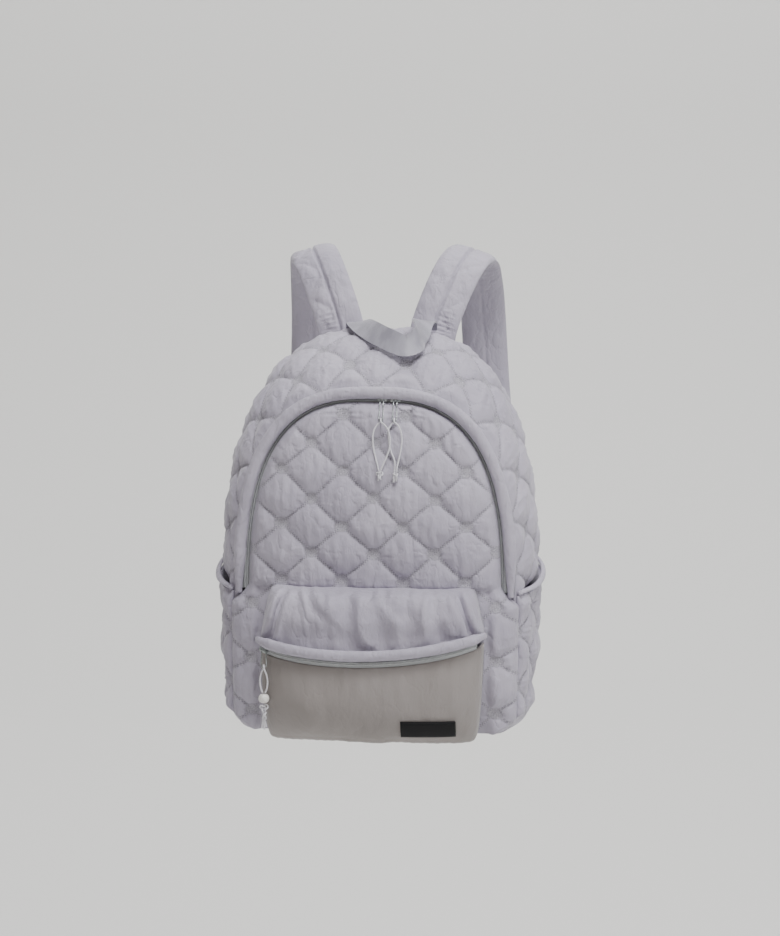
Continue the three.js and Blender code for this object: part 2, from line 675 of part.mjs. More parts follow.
function makeSidePockets() {
  const depths = stops(SIDE_BACK_DEPTH * BODY_DEPTH, SIDE_FRONT_DEPTH * BODY_DEPTH, STITCH_STEP);
  const rows = depths.map((value) => value / BODY_DEPTH);
  const columns = 10;
  for (const [name, side] of [["left", -1], ["right", 1]]) {
    const sheet = (outer) => rows.map((depth) => {
      const row = [];
      for (let k = 0; k <= columns; k += 1) {
        const z = lerp(SIDE_FOOT_Z, sideMouthZ(depth), k / columns);
        const edge = Math.min(k / columns, 1 - k / columns, (depth - SIDE_BACK_DEPTH) * 1.5, (1 - depth) * 1.5);
        const puff = pillow(z - SIDE_FOOT_Z, depth * BODY_DEPTH) * smoothstep(edge, 0, 0.1);
        const point = sidePoint(z, depth, sideRoom(z, depth) + (outer ? SIDE_WALL + puff : 0));
        point.x *= side;
        point.key = k;
        row.push(point);
      }
      return row;
    });
    addMesh(`side_pocket_${name}`, shell(sheet(true), sheet(false)), FABRIC);
    const frames = rows.map((depth) => {
      const z = sideMouthZ(depth) + EDGE_THICK + GAP + 0.4;
      const point = sidePoint(z, depth, sideRoom(sideMouthZ(depth), depth) + SIDE_WALL / 2 + 0.9);
      const face = bodyNormal(shareOfHeight(z, depth), depth);
      point.x *= side;
      face.x *= side;
      return { point, side: face, face: vec(0, 0, 1) };
    });
    const edge = ellipseSection(EDGE_WIDTH * 0.7, EDGE_THICK * 2, 6);
    addMesh(`side_pocket_edge_${name}`, strip(frames, edge), FABRIC);
  }
}

// Shoulder straps in worn form: centre line of the right strap, as shares of the body's half width,
// the straps' reach and the body's height, and the lean of its width
const STRAP_ROUTE = [
  { x: 0.294, y: 0.041, z: 0.920 },
  { x: 0.303, y: 0.046, z: 0.982 },
  { x: 0.377, y: 0.103, z: 1.072 },
  { x: 0.469, y: 0.222, z: 1.150 },
  { x: 0.531, y: 0.400, z: 1.177 },
  { x: 0.560, y: 0.595, z: 1.160 },
  { x: 0.577, y: 0.789, z: 1.090 },
  { x: 0.589, y: 0.930, z: 0.985 },
  { x: 0.606, y: 1.000, z: 0.860 },
  { x: 0.634, y: 0.995, z: 0.733 },
  { x: 0.672, y: 0.930, z: 0.620 },
];
const STRAP_LEAN = [
  { x: 1, y: 0, z: 0 },
  { x: 1, y: 0, z: -0.2 },
  { x: 1, y: 0, z: -0.3 },
  { x: 1, y: 0.1, z: -0.1 },
  { x: 1, y: 0.3, z: 0.1 },
];
const WEBBING_ROUTE = [
  { x: 0.678, y: 0.8838, z: 0.602 },
  { x: 0.701, y: 0.8270, z: 0.531 },
  { x: 0.747, y: 0.7135, z: 0.426 },
  { x: 0.787, y: 0.4865, z: 0.320 },
  { x: 0.810, y: 0.2486, z: 0.231 },
  { x: 0.810, y: 0.0865, z: 0.183 },
  { x: 0.805, y: 0.0346, z: 0.151 },
  { x: 0.799, y: 0.0303, z: 0.114 },
];
const wornPlace = ({ x, y, z }, side) => vec(side * x * BODY_HALF, y * STRAP_REACH, z * BODY_HEIGHT);
const worn = (rows, side) => rows.map((row) => wornPlace(row, side));

function strapSection(t) {
  const end = Math.min(t * 30, (1 - t) * 24);
  const thick = (STRAP_THICK / 2) * lerp(0.35, 1, smoothstep(end, 0, 2.2));
  const half = STRAP_WIDTH / 2;
  return [
    [-half, 0], [-half * 0.86, -thick * 0.8], [0, -thick], [half * 0.86, -thick * 0.8], [half, 0],
    [half * 0.86, thick * 0.8], [half * 0.4, thick], [0, thick * 0.72], [-half * 0.4, thick], [-half * 0.86, thick * 0.8],
  ];
}

function makeStraps() {
  for (const [name, side] of [["left", -1], ["right", 1]]) {
    const lean = STRAP_LEAN.map(({ x, y, z }) => vec(x, side * y, side * z));
    const frames = curveFrames(worn(STRAP_ROUTE, side), lean, STRAP_STEPS);
    addMesh(`strap_${name}`, strip(frames, strapSection), FABRIC);
    const webbing = curveFrames(worn(WEBBING_ROUTE, side), [vec(1, 0, 0), vec(1, 0, 0)], 14);
    addMesh(`strap_webbing_${name}`, strip(webbing, flatSection(WEBBING_WIDTH, WEBBING_THICK)), WEBBING);
    makeAdjuster(name, frames.at(-1));
    makeAnchor(name, side);
  }
}

// Ladder lock below the strap's end, with one open slot
const ADJUSTER_WIDTH = 33;
const ADJUSTER_HEIGHT = 20;
const ADJUSTER_THICK = 3.4;
function makeAdjuster(name, end) {
  const w = ADJUSTER_WIDTH / 2;
  const h = ADJUSTER_HEIGHT / 2;
  const frame = new THREE.Shape([[-w, -h], [w, -h], [w, h], [-w, h]].map(([x, y]) => new THREE.Vector2(x, y)));
  for (const low of [-h + 3, 1.5]) {
    const slot = [[-w + 3.5, low], [w - 3.5, low], [w - 3.5, low + 5.5], [-w + 3.5, low + 5.5]];
    frame.holes.push(new THREE.Path(slot.map(([x, y]) => new THREE.Vector2(x, y))));
  }
  const geometry = new THREE.ExtrudeGeometry(frame, { depth: ADJUSTER_THICK, bevelEnabled: false });
  geometry.translate(0, 0, -ADJUSTER_THICK / 2);
  const mesh = addMesh(`strap_adjuster_${name}`, geometry, BUCKLE);
  const along = vec(0, 0, 0).crossVectors(end.face, end.side).negate();
  mesh.setRotationFromMatrix(new THREE.Matrix4().makeBasis(end.side, along, vec(0, 0, 0).crossVectors(end.side, along)));
  mesh.position.copy(end.point).addScaledVector(along, -(ADJUSTER_HEIGHT / 2 + GAP));
}

// Tab sewn flat on the back panel that carries the webbing's lower end
function makeAnchor(name, side) {
  const corner = wornPlace(WEBBING_ROUTE.at(-1), side);
  const half = ANCHOR_SIZE / 2;
  const shape = new THREE.Shape();
  shape.moveTo(-WEBBING_WIDTH / 2 - 2, half);
  shape.lineTo(WEBBING_WIDTH / 2 + 2, half);
  shape.lineTo(half - 4, -half);
  shape.lineTo(-half, -half);
  const geometry = new THREE.ExtrudeGeometry(shape, { depth: ANCHOR_THICK, bevelEnabled: false });
  geometry.rotateX(Math.PI / 2);
  geometry.translate(corner.x, GAP + ANCHOR_THICK, corner.z);
  addMesh(`strap_anchor_${name}`, geometry, FABRIC);
}

// Haul handle, flopped forward over the crown: shares of its span, its reach and its rise over the
// crown of the back seam
const HANDLE_ROUTE = [
  { x: -0.370, y: -0.045, rise: 0.075 },
  { x: -0.359, y: -0.143, rise: 0.450 },
  { x: -0.293, y: -0.375, rise: 0.500 },
  { x: -0.152, y: -0.679, rise: 0.200 },
  { x: 0.065, y: -0.911, rise: -0.400 },
  { x: 0.272, y: -1.000, rise: -0.775 },
  { x: 0.424, y: -0.946, rise: -0.500 },
  { x: 0.489, y: -0.768, rise: 0.150 },
  { x: 0.489, y: -0.500, rise: 0.650 },
  { x: 0.500, y: -0.232, rise: 0.650 },
  { x: 0.511, y: -0.089, rise: 0.350 },
  { x: 0.500, y: -0.045, rise: 0.075 },
];
const HANDLE_LEAN = [
  { x: 1, y: 0, z: 0 },
  { x: 1, y: 0, z: 0.1 },
  { x: 0.9, y: 0, z: 0.4 },
  { x: 0.6, y: 0.2, z: 0.75 },
  { x: 0.2, y: 0.4, z: 0.85 },
  { x: 0, y: 0.45, z: 0.85 },
  { x: -0.2, y: 0.4, z: 0.85 },
  { x: -0.75, y: 0.2, z: 0.5 },
  { x: -1, y: 0, z: 0.1 },
  { x: -1, y: 0, z: 0 },
  { x: -1, y: 0, z: 0 },
];

function makeHandle() {
  const crownZ = BODY_HEIGHT * BODY_SECTIONS[0].height;
  const route = HANDLE_ROUTE.map(({ x, y, rise }) => {
    return vec(x * HANDLE_SPAN, y * HANDLE_REACH, crownZ + rise * HANDLE_RISE);
  });
  const lean = HANDLE_LEAN.map(({ x, y, z }) => vec(x, y, z));
  const frames = curveFrames(route, lean, HANDLE_STEPS);
  addMesh("haul_handle", strip(frames, flatSection(WEBBING_WIDTH, WEBBING_THICK)), WEBBING);
}

// Round tube along a smooth curve through the points
function tube(points, diameter, sides, steps) {
  const outline = new THREE.Shape(ellipseSection(diameter, diameter, sides).map(([x, y]) => new THREE.Vector2(x, y)));
  return new THREE.ExtrudeGeometry(outline, {
    steps,
    bevelEnabled: false,
    extrudePath: new THREE.CatmullRomCurve3(points),
  });
}

// Zip sliders and their bent wire pulls
const SLIDER_LENGTH = 11;
const SLIDER_HEIGHT = 6.6;
const SLIDER_THICK = 3.4;
function sliderBody() {
  const l = SLIDER_LENGTH / 2;
  const h = SLIDER_HEIGHT / 2;
  const corners = [[-l, -h * 0.7], [-l * 0.5, -h], [l, -h * 0.8], [l, h * 0.8], [-l * 0.5, h], [-l, h * 0.7]];
  const shape = new THREE.Shape(corners.map(([x, y]) => new THREE.Vector2(x, y)));
  const geometry = new THREE.ExtrudeGeometry(shape, { depth: SLIDER_THICK, bevelEnabled: false });
  return geometry.rotateX(Math.PI / 2);
}

// A pull's wire bends down over the cloth from its eye, round its foot and up again
function pullWire(route, eye, width) {
  const half = (width - WIRE) / 2;
  const place = ({ out, drop }, side) => eye.clone().add(vec(side * half, -out, -drop));
  const leg = route.map((row) => place(row, -1));
  const back = route.slice().reverse().map((row) => place(row, 1));
  const foot = place(route.at(-1), 0).add(vec(0, -0.4, -half * 0.9));
  return tube([...leg, foot, ...back], WIRE, 6, 18);
}

const MAIN_PULL_ROUTE = [
  { out: 4.5, drop: 0.2 },
  { out: 8.9, drop: 3.4 },
  { out: 13.1, drop: 11.2 },
  { out: 18.7, drop: 21.6 },
];
const POCKET_PULL_ROUTE = [
  { out: 6.2, drop: -0.2 },
  { out: 8.5, drop: 6.4 },
  { out: 8.1, drop: 16.4 },
];
const POCKET_PULL_SHARE = 0.9332; // of the pocket's half width
const POCKET_PULL_WIDTH = 6.6;

// Routes of the pulls' cords, each from its knot up through the wire and down to the knot again. The
// main pair is measured from the crown of the coil between the sliders, the pocket's from its slider.
const CORD_ROUTE_LEFT = [
  [-8.7, -31.3, -76.2], [-10.2, -29.3, -70.2], [-12.8, -26.9, -61.2], [-15.2, -24.3, -51.2],
  [-16.0, -22.3, -41.2], [-14.6, -20.1, -32.2], [-11.0, -17.7, -26.4], [-7.8, -16.5, -23.0],
  [-7.5, -19.3, -19.8], [-7.2, -22.3, -23.0], [-3.4, -23.1, -26.2], [0.8, -24.3, -31.2],
  [3.2, -26.1, -40.2], [3.2, -27.7, -50.2], [0.4, -29.3, -60.2], [-3.6, -30.9, -69.2],
  [-6.3, -31.9, -76.2],
];
const CORD_ROUTE_RIGHT = [
  [8.6, -30.7, -78.0], [9.4, -28.9, -70.2], [7.8, -26.7, -63.2], [4.6, -24.9, -56.2],
  [2.4, -23.1, -47.2], [1.2, -21.3, -38.2], [1.6, -19.3, -30.7], [4.4, -17.5, -26.0],
  [7.2, -16.5, -23.0], [7.5, -19.3, -19.8], [7.8, -22.3, -23.0], [11.4, -22.5, -26.0],
  [14.6, -23.1, -31.7], [16.5, -24.5, -41.2], [15.6, -26.7, -53.2], [13.2, -29.1, -65.2],
  [11.6, -31.1, -73.2], [11.0, -31.7, -78.0],
];
const CORD_ROUTE_POCKET = [
  [-1.4, -7.1, -47.6], [-3.6, -6.9, -41.4], [-4.4, -6.5, -33.4], [-3.0, -5.9, -25.4],
  [-0.9, -5.5, -20.0], [0.0, -8.1, -15.8], [0.9, -10.9, -20.0], [2.8, -9.7, -25.4],
  [4.2, -8.5, -33.4], [3.6, -7.7, -41.4], [1.4, -7.1, -47.6],
];
const routeFrom = (origin, route) => route.map(([x, y, z]) => origin.clone().add(vec(x, y, z)));

// Overhand knot with its trimmed tail, as a turned outline of radius and height below its top
const KNOT_OUTLINE = [[0, 0], [2.4, -0.9], [3.4, -3.2], [2.6, -5.6], [1.2, -6.8], [1.3, -10.4], [0, -11]];
const BRAID_OUTLINE = [
  [0, 0], [3.4, -1], [5.2, -4.5], [4.2, -8], [5.4, -12], [4.4, -16.5], [2, -19.5], [2.2, -27], [0, -29],
];
function turned(outline, top) {
  const geometry = new THREE.LatheGeometry(outline.map(([r, y]) => new THREE.Vector2(r, y)).reverse(), 9);
  return geometry.rotateX(Math.PI / 2).translate(top.x, top.y, top.z);
}

const knotTop = (points) => {
  return points[0].clone().lerp(points.at(-1), 0.5).add(vec(0, 0, -GAP - 0.4));
};

const BEAD_RADIUS = 6.2;
function makePulls() {
  const crown = frontLine(COIL_INSET, 2)[1].point;
  const coilFront = SEAM_Y - GAP - TAPE_THICK - COIL_HEIGHT - GAP;
  for (const [name, side, route] of [["left", -1, CORD_ROUTE_LEFT], ["right", 1, CORD_ROUTE_RIGHT]]) {
    const x = SLIDERS_X + (side * SLIDER_SPACING) / 2;
    const body = sliderBody();
    if (side > 0) body.rotateY(Math.PI);
    const share = 0.5 + x / archAt(1).total;
    const eye = vec(x, coilFront, frontLine(COIL_INSET, 1, share, share)[0].point.z);
    const slider = addMesh(`slider_${name}`, body, NICKEL);
    slider.position.copy(eye);
    addMesh(`pull_wire_${name}`, pullWire(MAIN_PULL_ROUTE, eye, PULL_WIDTH), NICKEL);
    const points = routeFrom(vec(SLIDERS_X, coilFront, crown.z), route);
    addMesh(`pull_cord_${name}`, tube(points, CORD, CORD_SIDES, MAIN_CORD_STEPS), CORD_WHITE);
    addMesh(`pull_knot_${name}`, turned(KNOT_OUTLINE, knotTop(points)), CORD_WHITE);
  }
  const [end] = pocketLine(TAPE_THICK + 1.8 - 1.6 + GAP, 0, [0, POCKET_PULL_SHARE]);
  const slider = addMesh("pocket_slider", sliderBody(), NICKEL);
  const along = vec(0, 0, 0).crossVectors(end.side, end.face);
  slider.setRotationFromMatrix(new THREE.Matrix4().makeBasis(along, end.face.clone().negate(), end.side));
  slider.position.copy(end.point);
  addMesh("pocket_pull_wire", pullWire(POCKET_PULL_ROUTE, end.point, POCKET_PULL_WIDTH), NICKEL);
  const points = routeFrom(end.point, CORD_ROUTE_POCKET);
  addMesh("pocket_cord", tube(points, CORD, CORD_SIDES, POCKET_CORD_STEPS), CORD_WHITE);
  const top = knotTop(points);
  const bead = addMesh("pocket_bead", new THREE.IcosahedronGeometry(BEAD_RADIUS, 1), BEAD_CREAM);
  bead.position.copy(top).add(vec(0, 0, 0.7 - BEAD_RADIUS));
  const braidTop = top.clone().add(vec(0, 0, 0.6 - 2 * BEAD_RADIUS));
  addMesh("pocket_knot", turned(BRAID_OUTLINE, braidTop), CORD_WHITE);
}

makeBackPanel();
makeGusset();
makeBasePanel();
makeFrontPanel();
makeMainZip();
makePulls();
makePocket();
makeLabel();
makeSidePockets();
makeStraps();
makeHandle();

export default pack;
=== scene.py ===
import math
import bpy
import numpy as np
from mathutils import Matrix, Vector

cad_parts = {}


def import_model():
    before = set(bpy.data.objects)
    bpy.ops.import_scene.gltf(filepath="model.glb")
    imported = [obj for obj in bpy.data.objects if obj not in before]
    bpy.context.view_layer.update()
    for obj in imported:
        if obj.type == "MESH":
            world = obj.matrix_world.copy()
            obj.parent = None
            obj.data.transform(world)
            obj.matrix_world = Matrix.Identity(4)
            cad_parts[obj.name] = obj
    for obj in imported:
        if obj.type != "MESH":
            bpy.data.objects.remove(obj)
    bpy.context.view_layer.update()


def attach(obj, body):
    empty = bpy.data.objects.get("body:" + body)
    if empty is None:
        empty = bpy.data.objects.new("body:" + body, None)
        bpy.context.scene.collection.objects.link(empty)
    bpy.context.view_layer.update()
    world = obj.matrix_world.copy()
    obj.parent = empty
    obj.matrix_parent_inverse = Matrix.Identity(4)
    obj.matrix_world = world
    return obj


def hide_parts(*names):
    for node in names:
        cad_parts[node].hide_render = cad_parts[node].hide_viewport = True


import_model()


scene = bpy.context.scene

# Sizes in millimetres, z measured from the foot of the pack
FOOT_Z = -223.0
BODY_HEIGHT = 446.0
BODY_HALF = 175.0
BODY_DEPTH = 128.0
WIDEST_Z = 144.0
CORNER_RADIUS = 20.0
FOOT_TAPER = 0.012
ARCH_POWER = 2.75
WALL = 7.0
PITCH = 66.0
FRONT_PITCH_X, FRONT_PITCH_Z = 68.6, 61.0
DIAGONAL = PITCH / math.sqrt(2)
PUFF = 7.2
FLOWER_HALF_X, FLOWER_HALF_Z = 8.0, 6.5
DOME_BULGE = 24.0
GAP = 0.3
TAPE_WIDTH, TAPE_THICK = 22.0, 1.2
COIL_WIDTH, COIL_HEIGHT, COIL_INSET = 5.0, 2.2, 12.5
ZIP_END_Z = 174.0
BAND_WIDTH, BAND_DEEP = 13.0, 11.0
SLIDER_SPACING, SLIDERS_X = 15.0, 15.0
WIRE, PULL_WIDTH, CORD = 1.3, 5.2, 1.9
POCKET_HALF, POCKET_TOP_Z, POCKET_FOOT_Z = 125.0, 171.0, -3.0
POCKET_DEPTH, POCKET_WALL, POCKET_POWER = 46.0, 3.0, 3.6
POCKET_ZIP_Z, POCKET_ZIP_SAG, POCKET_ZIP_TILT = 93.0, 16.0, 5.0
POCKET_TAPE, POCKET_BAND, POCKET_FOLD, POCKET_CLEAR = 9.0, 12.0, 3.2, 1.6
POCKET_ZIP_SUNK, POCKET_COIL = 1.6, 1.8
LABEL_WIDTH, LABEL_HEIGHT, LABEL_THICK = 60.0, 18.0, 1.2
LABEL_X, LABEL_Z = 65.0, 19.0
MOUTH_BACK_Z, MOUTH_FRONT_Z, SIDE_FOOT_Z = 188.0, 158.0, 28.0
SIDE_WALL, SIDE_ROOM, SIDE_PRESS = 4.0, 10.0, 13.0
SIDE_BACK, SIDE_FRONT = 0.06, 0.97
STRAP_WIDTH, STRAP_THICK, STRAP_REACH, STRAP_PITCH = 54.0, 14.0, 185.0, 52.0
WEB_WIDTH, WEB_THICK = 25.0, 1.8
BACK_Y = -10.3
SEAM_Y = BACK_Y - BODY_DEPTH
PANEL_BACK_Y = SEAM_Y - TAPE_THICK - 2 * GAP
SIDES = (("left", -1), ("right", 1))


# Helpers
def world(points):
    """Millimetres from the foot to metres in the shared frame."""
    points = np.array(points, dtype=float)
    points[..., 2] += FOOT_Z
    return points / 1000


def smooth(value, low, high):
    t = np.clip((np.asarray(value, dtype=float) - low) / (high - low), 0, 1)
    return t * t * (3 - 2 * t)


def lerp(a, b, t):
    return a + (b - a) * t


def unit(v):
    v = np.asarray(v, dtype=float)
    return v / np.maximum(np.linalg.norm(v, axis=-1, keepdims=True), 1e-9)


RANDOM = np.random.RandomState(7)
LATTICE = RANDOM.rand(64, 64)


def run_lengths(points):
    """Length run along a line of points up to each of them."""
    return np.concatenate([[0], np.cumsum(np.linalg.norm(np.diff(points, axis=0), axis=1))])


def noise(u, v):
    """Smooth value noise from -1 to 1, one lump a unit."""
    i, j = np.floor(u).astype(int), np.floor(v).astype(int)
    f, g = u - i, v - j
    f, g = f * f * (3 - 2 * f), g * g * (3 - 2 * g)
    at = lambda a, b: LATTICE[a % 64, b % 64]
    low = lerp(at(i, j), at(i + 1, j), f)
    high = lerp(at(i, j + 1), at(i + 1, j + 1), f)
    return 2 * lerp(low, high, g) - 1


def follow(table, column, at):
    """Smooth value of a table's column between its rows."""
    at = np.asarray(at, dtype=float)
    places = np.array([row[0] for row in table])
    values = np.array([row[column] for row in table])
    i = np.clip(np.searchsorted(places, at, side="left") - 1, 0, len(places) - 2)
    before, after = np.maximum(i - 1, 0), np.minimum(i + 2, len(places) - 1)
    span = places[i + 1] - places[i]
    t = np.clip((at - places[i]) / span, 0, 1)
    slope_a = span * (values[i + 1] - values[before]) / (places[i + 1] - places[before])
    slope_b = span * (values[after] - values[i]) / (places[after] - places[i])
    h = t * t * (3 - 2 * t)
    bend = t * (1 - t) * ((1 - t) * slope_a - t * slope_b)
    return values[i] + h * (values[i + 1] - values[i]) + bend


def grid_faces(rows, columns, ring=False):
    """Quads of a grid of vertices, in row order."""
    last = columns if ring else columns - 1
    k, i = np.meshgrid(np.arange(rows - 1), np.arange(last), indexing="ij")
    a, b = k * columns + i, k * columns + (i + 1) % columns
    return np.stack([a, b, b + columns, a + columns], axis=-1).reshape(-1, 4)


def make_piece(name, points, faces, uvs, material, smooth_angle=None):
    """New mesh piece from millimetre points; faces and uvs are lists of arrays, one UV a corner."""
    points = np.asarray(points, dtype=float).reshape(-1, 3)
    volume = 0.0
    for face in faces:
        for k in range(1, face.shape[1] - 1):
            a, b, c = points[face[:, 0]], points[face[:, k]], points[face[:, k + 1]]
            volume += float(np.sum(a * np.cross(b, c)))
    polygons, corners = [], []
    for face, uv in zip(faces, uvs):
        if volume < 0:
            face, uv = face[:, ::-1], uv[:, ::-1]
        polygons += face.tolist()
        corners.append(uv.reshape(-1, 2))
    mesh = bpy.data.meshes.new(name)
    mesh.from_pydata(world(points).tolist(), [], polygons)
    layer = mesh.uv_layers.new(name="UVMap")
    layer.data.foreach_set("uv", np.concatenate(corners).astype(np.float32).ravel())
    mesh.polygons.foreach_set("use_smooth", [True] * len(mesh.polygons))
    mesh.update()
    piece = bpy.data.objects.new(name, mesh)
    scene.collection.objects.link(piece)
    if smooth_angle is not None:
        bpy.ops.object.select_all(action="DESELECT")
        piece.select_set(True)
        bpy.context.view_layer.objects.active = piece
        bpy.ops.object.shade_smooth_by_angle(angle=math.radians(smooth_angle))
    return finish_piece(piece, name, material)


def finish_piece(piece, node, material):
    """Gives a piece its material, its body and the CAD node that it replaces."""
    piece.name = piece.data.name = f"{node}_made"
    piece.data.materials.clear()
    piece.data.materials.append(material)
    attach(piece, "root")
    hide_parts(node)
    return piece


def shell(name, outer, inner, uv, material):
    """Closed sheet of cloth between an outer and an inner grid of points."""
    rows, columns = outer.shape[:2]
    count = rows * columns
    top = grid_faces(rows, columns)
    index = np.arange(count).reshape(rows, columns)
    rim = np.concatenate([index[0], index[1:-1, -1], index[-1][::-1], index[1:-1, 0][::-1]])
    after = np.roll(rim, -1)
    side = np.stack([after, rim, rim + count, after + count], axis=-1)
    faces = np.concatenate([top, top[:, ::-1] + count, side])
    flat = np.concatenate([uv.reshape(-1, 2), uv.reshape(-1, 2)]) / 1000
    points = np.concatenate([outer.reshape(-1, 3), inner.reshape(-1, 3)])
    return make_piece(name, points, [faces], [flat[faces]], material)


def strip_mesh(points, sides, faces_dir, section):
    """Rings of a section along frames: an (m, 2) outline of p and q, or a function of t."""
    n = len(points)
    rings, runs = [], []
    for k in range(n):
        outline = section(k / (n - 1)) if callable(section) else section
        rings.append(points[k] + outline[:, :1] * sides[k] + outline[:, 1:] * faces_dir[k])
        runs.append(run_lengths(np.concatenate([outline, outline[:1]])))
    m = len(rings[0])
    verts = np.concatenate(rings)
    run, length = np.array(runs) / 1000, run_lengths(points) / 1000
    k, i = np.meshgrid(np.arange(n - 1), np.arange(m), indexing="ij")
    corners = ((k, i), (k, i + 1), (k + 1, i + 1), (k + 1, i))
    uv = np.stack([np.stack([run[a, b], length[a]], -1) for a, b in corners], axis=-2)
    caps, cap_uv = [], []
    for base, backwards in ((0, False), ((n - 1) * m, True)):
        centre = np.full(m, len(verts))
        verts = np.concatenate([verts, verts[base:base + m].mean(axis=0, keepdims=True)])
        ring = np.arange(m) + base
        following = np.roll(ring, -1)
        first, second = (ring, following) if backwards else (following, ring)
        caps.append(np.stack([first, second, centre], axis=-1))
        cap_uv.append(np.stack([verts[at][:, :2] for at in (first, second, centre)], 1) / 1000)
    quads = grid_faces(n, m, ring=True)
    return verts, quads, uv.reshape(-1, 4, 2), np.concatenate(caps), np.concatenate(cap_uv)


def strip(name, points, sides, faces_dir, section, material, smooth_angle=None):
    """Piece made by strip_mesh."""
    verts, quads, uv, caps, cap_uv = strip_mesh(points, sides, faces_dir, section)
    return make_piece(name, verts, [quads, caps], [uv, cap_uv], material, smooth_angle)


def curve_points(points, t):
    """Centripetal Catmull-Rom through the points, at t from 0 to 1."""
    p = np.asarray(points, dtype=float)
    ends = np.concatenate([[2 * p[0] - p[1]], p, [2 * p[-1] - p[-2]]])
    place = np.asarray(t, dtype=float) * (len(p) - 1)
    i = np.clip(np.floor(place).astype(int), 0, len(p) - 2)
    w = (place - i)[..., None]
    x0, x1, x2, x3 = ends[i], ends[i + 1], ends[i + 2], ends[i + 3]
    d = lambda a, b: np.sqrt(np.linalg.norm(a - b, axis=-1, keepdims=True))
    d0, d1, d2 = d(x0, x1), d(x1, x2), d(x2, x3)
    d1 = np.where(d1 < 1e-4, 1.0, d1)
    d0, d2 = np.where(d0 < 1e-4, d1, d0), np.where(d2 < 1e-4, d1, d2)
    t1 = ((x1 - x0) / d0 - (x2 - x0) / (d0 + d1) + (x2 - x1) / d1) * d1
    t2 = ((x2 - x1) / d1 - (x3 - x1) / (d1 + d2) + (x3 - x2) / d2) * d1
    square, cube = -3 * x1 + 3 * x2 - 2 * t1 - t2, 2 * x1 - 2 * x2 + t1 + t2
    return x1 + t1 * w + square * w ** 2 + cube * w ** 3


def curve_frames(points, leans, steps):
    """Evenly spaced points of a smooth line, with their side, face and run directions."""
    dense = np.linspace(0, 1, 3000)
    length = run_lengths(curve_points(points, dense))
    t = np.interp(np.linspace(0, length[-1], steps + 1), length, dense)
    at = curve_points(points, t)
    ahead, behind = np.minimum(t + 5e-4, 1), np.maximum(t - 5e-4, 0)
    along = unit(curve_points(points, ahead) - curve_points(points, behind))
    side = curve_points(leans, t)
    side = unit(side - np.sum(side * along, axis=1, keepdims=True) * along)
    return at, side, np.cross(side, along), along


def ellipse(width, height, sides):
    """Outline of an ellipse as p and q."""
    turn = 2 * np.pi * (np.arange(sides) + 0.5) / sides
    return np.stack([width / 2 * np.cos(turn), height / 2 * np.sin(turn)], axis=-1)


def tube_frames(points, steps):
    """Frames without twist along a smooth line through the points."""
    at, _, _, along = curve_frames(points, [[1, 0, 0], [1, 0, 0]], steps)
    side = unit(np.cross(along[0], [0.3, 1, 0.2]))
    sides = []
    for tangent in along:
        side = unit(side - np.dot(side, tangent) * tangent)
        sides.append(side)
    sides = np.array(sides)
    return at, sides, np.cross(sides, along)


# Camera
CAMERA_AZIMUTH, CAMERA_ELEVATION, CAMERA_ROLL = 4.7, 8.0, 0.3
CAMERA_DISTANCE = 3.5
CAMERA_TARGET = Vector((0.013, -0.10, 0.072))
FIELD_WIDTH, SENSOR_WIDTH = 0.881, 36
az, el = math.radians(CAMERA_AZIMUTH), math.radians(CAMERA_ELEVATION)
camera = bpy.data.objects.new("camera", bpy.data.cameras.new("camera"))
scene.collection.objects.link(camera)
camera.data.sensor_fit = "HORIZONTAL"
camera.data.sensor_width = SENSOR_WIDTH
camera.data.lens = SENSOR_WIDTH * CAMERA_DISTANCE / FIELD_WIDTH
camera.data.clip_end = 50
away = Vector((math.sin(az) * math.cos(el), -math.cos(az) * math.cos(el), math.sin(el)))
camera.location = CAMERA_TARGET + away * CAMERA_DISTANCE
turn = away.to_track_quat("Z", "Y").to_matrix().to_4x4()
roll = Matrix.Rotation(math.radians(CAMERA_ROLL), 4, "Z")
camera.matrix_world = Matrix.Translation(camera.location) @ turn @ roll
scene.camera = camera


# Materials
def linear(hex_colour):
    """Linear RGBA from a hex sRGB colour."""
    values = [int(hex_colour[k:k + 2], 16) / 255 for k in (1, 3, 5)]
    return (*[v / 12.92 if v <= 0.04045 else ((v + 0.055) / 1.055) ** 2.4 for v in values], 1.0)


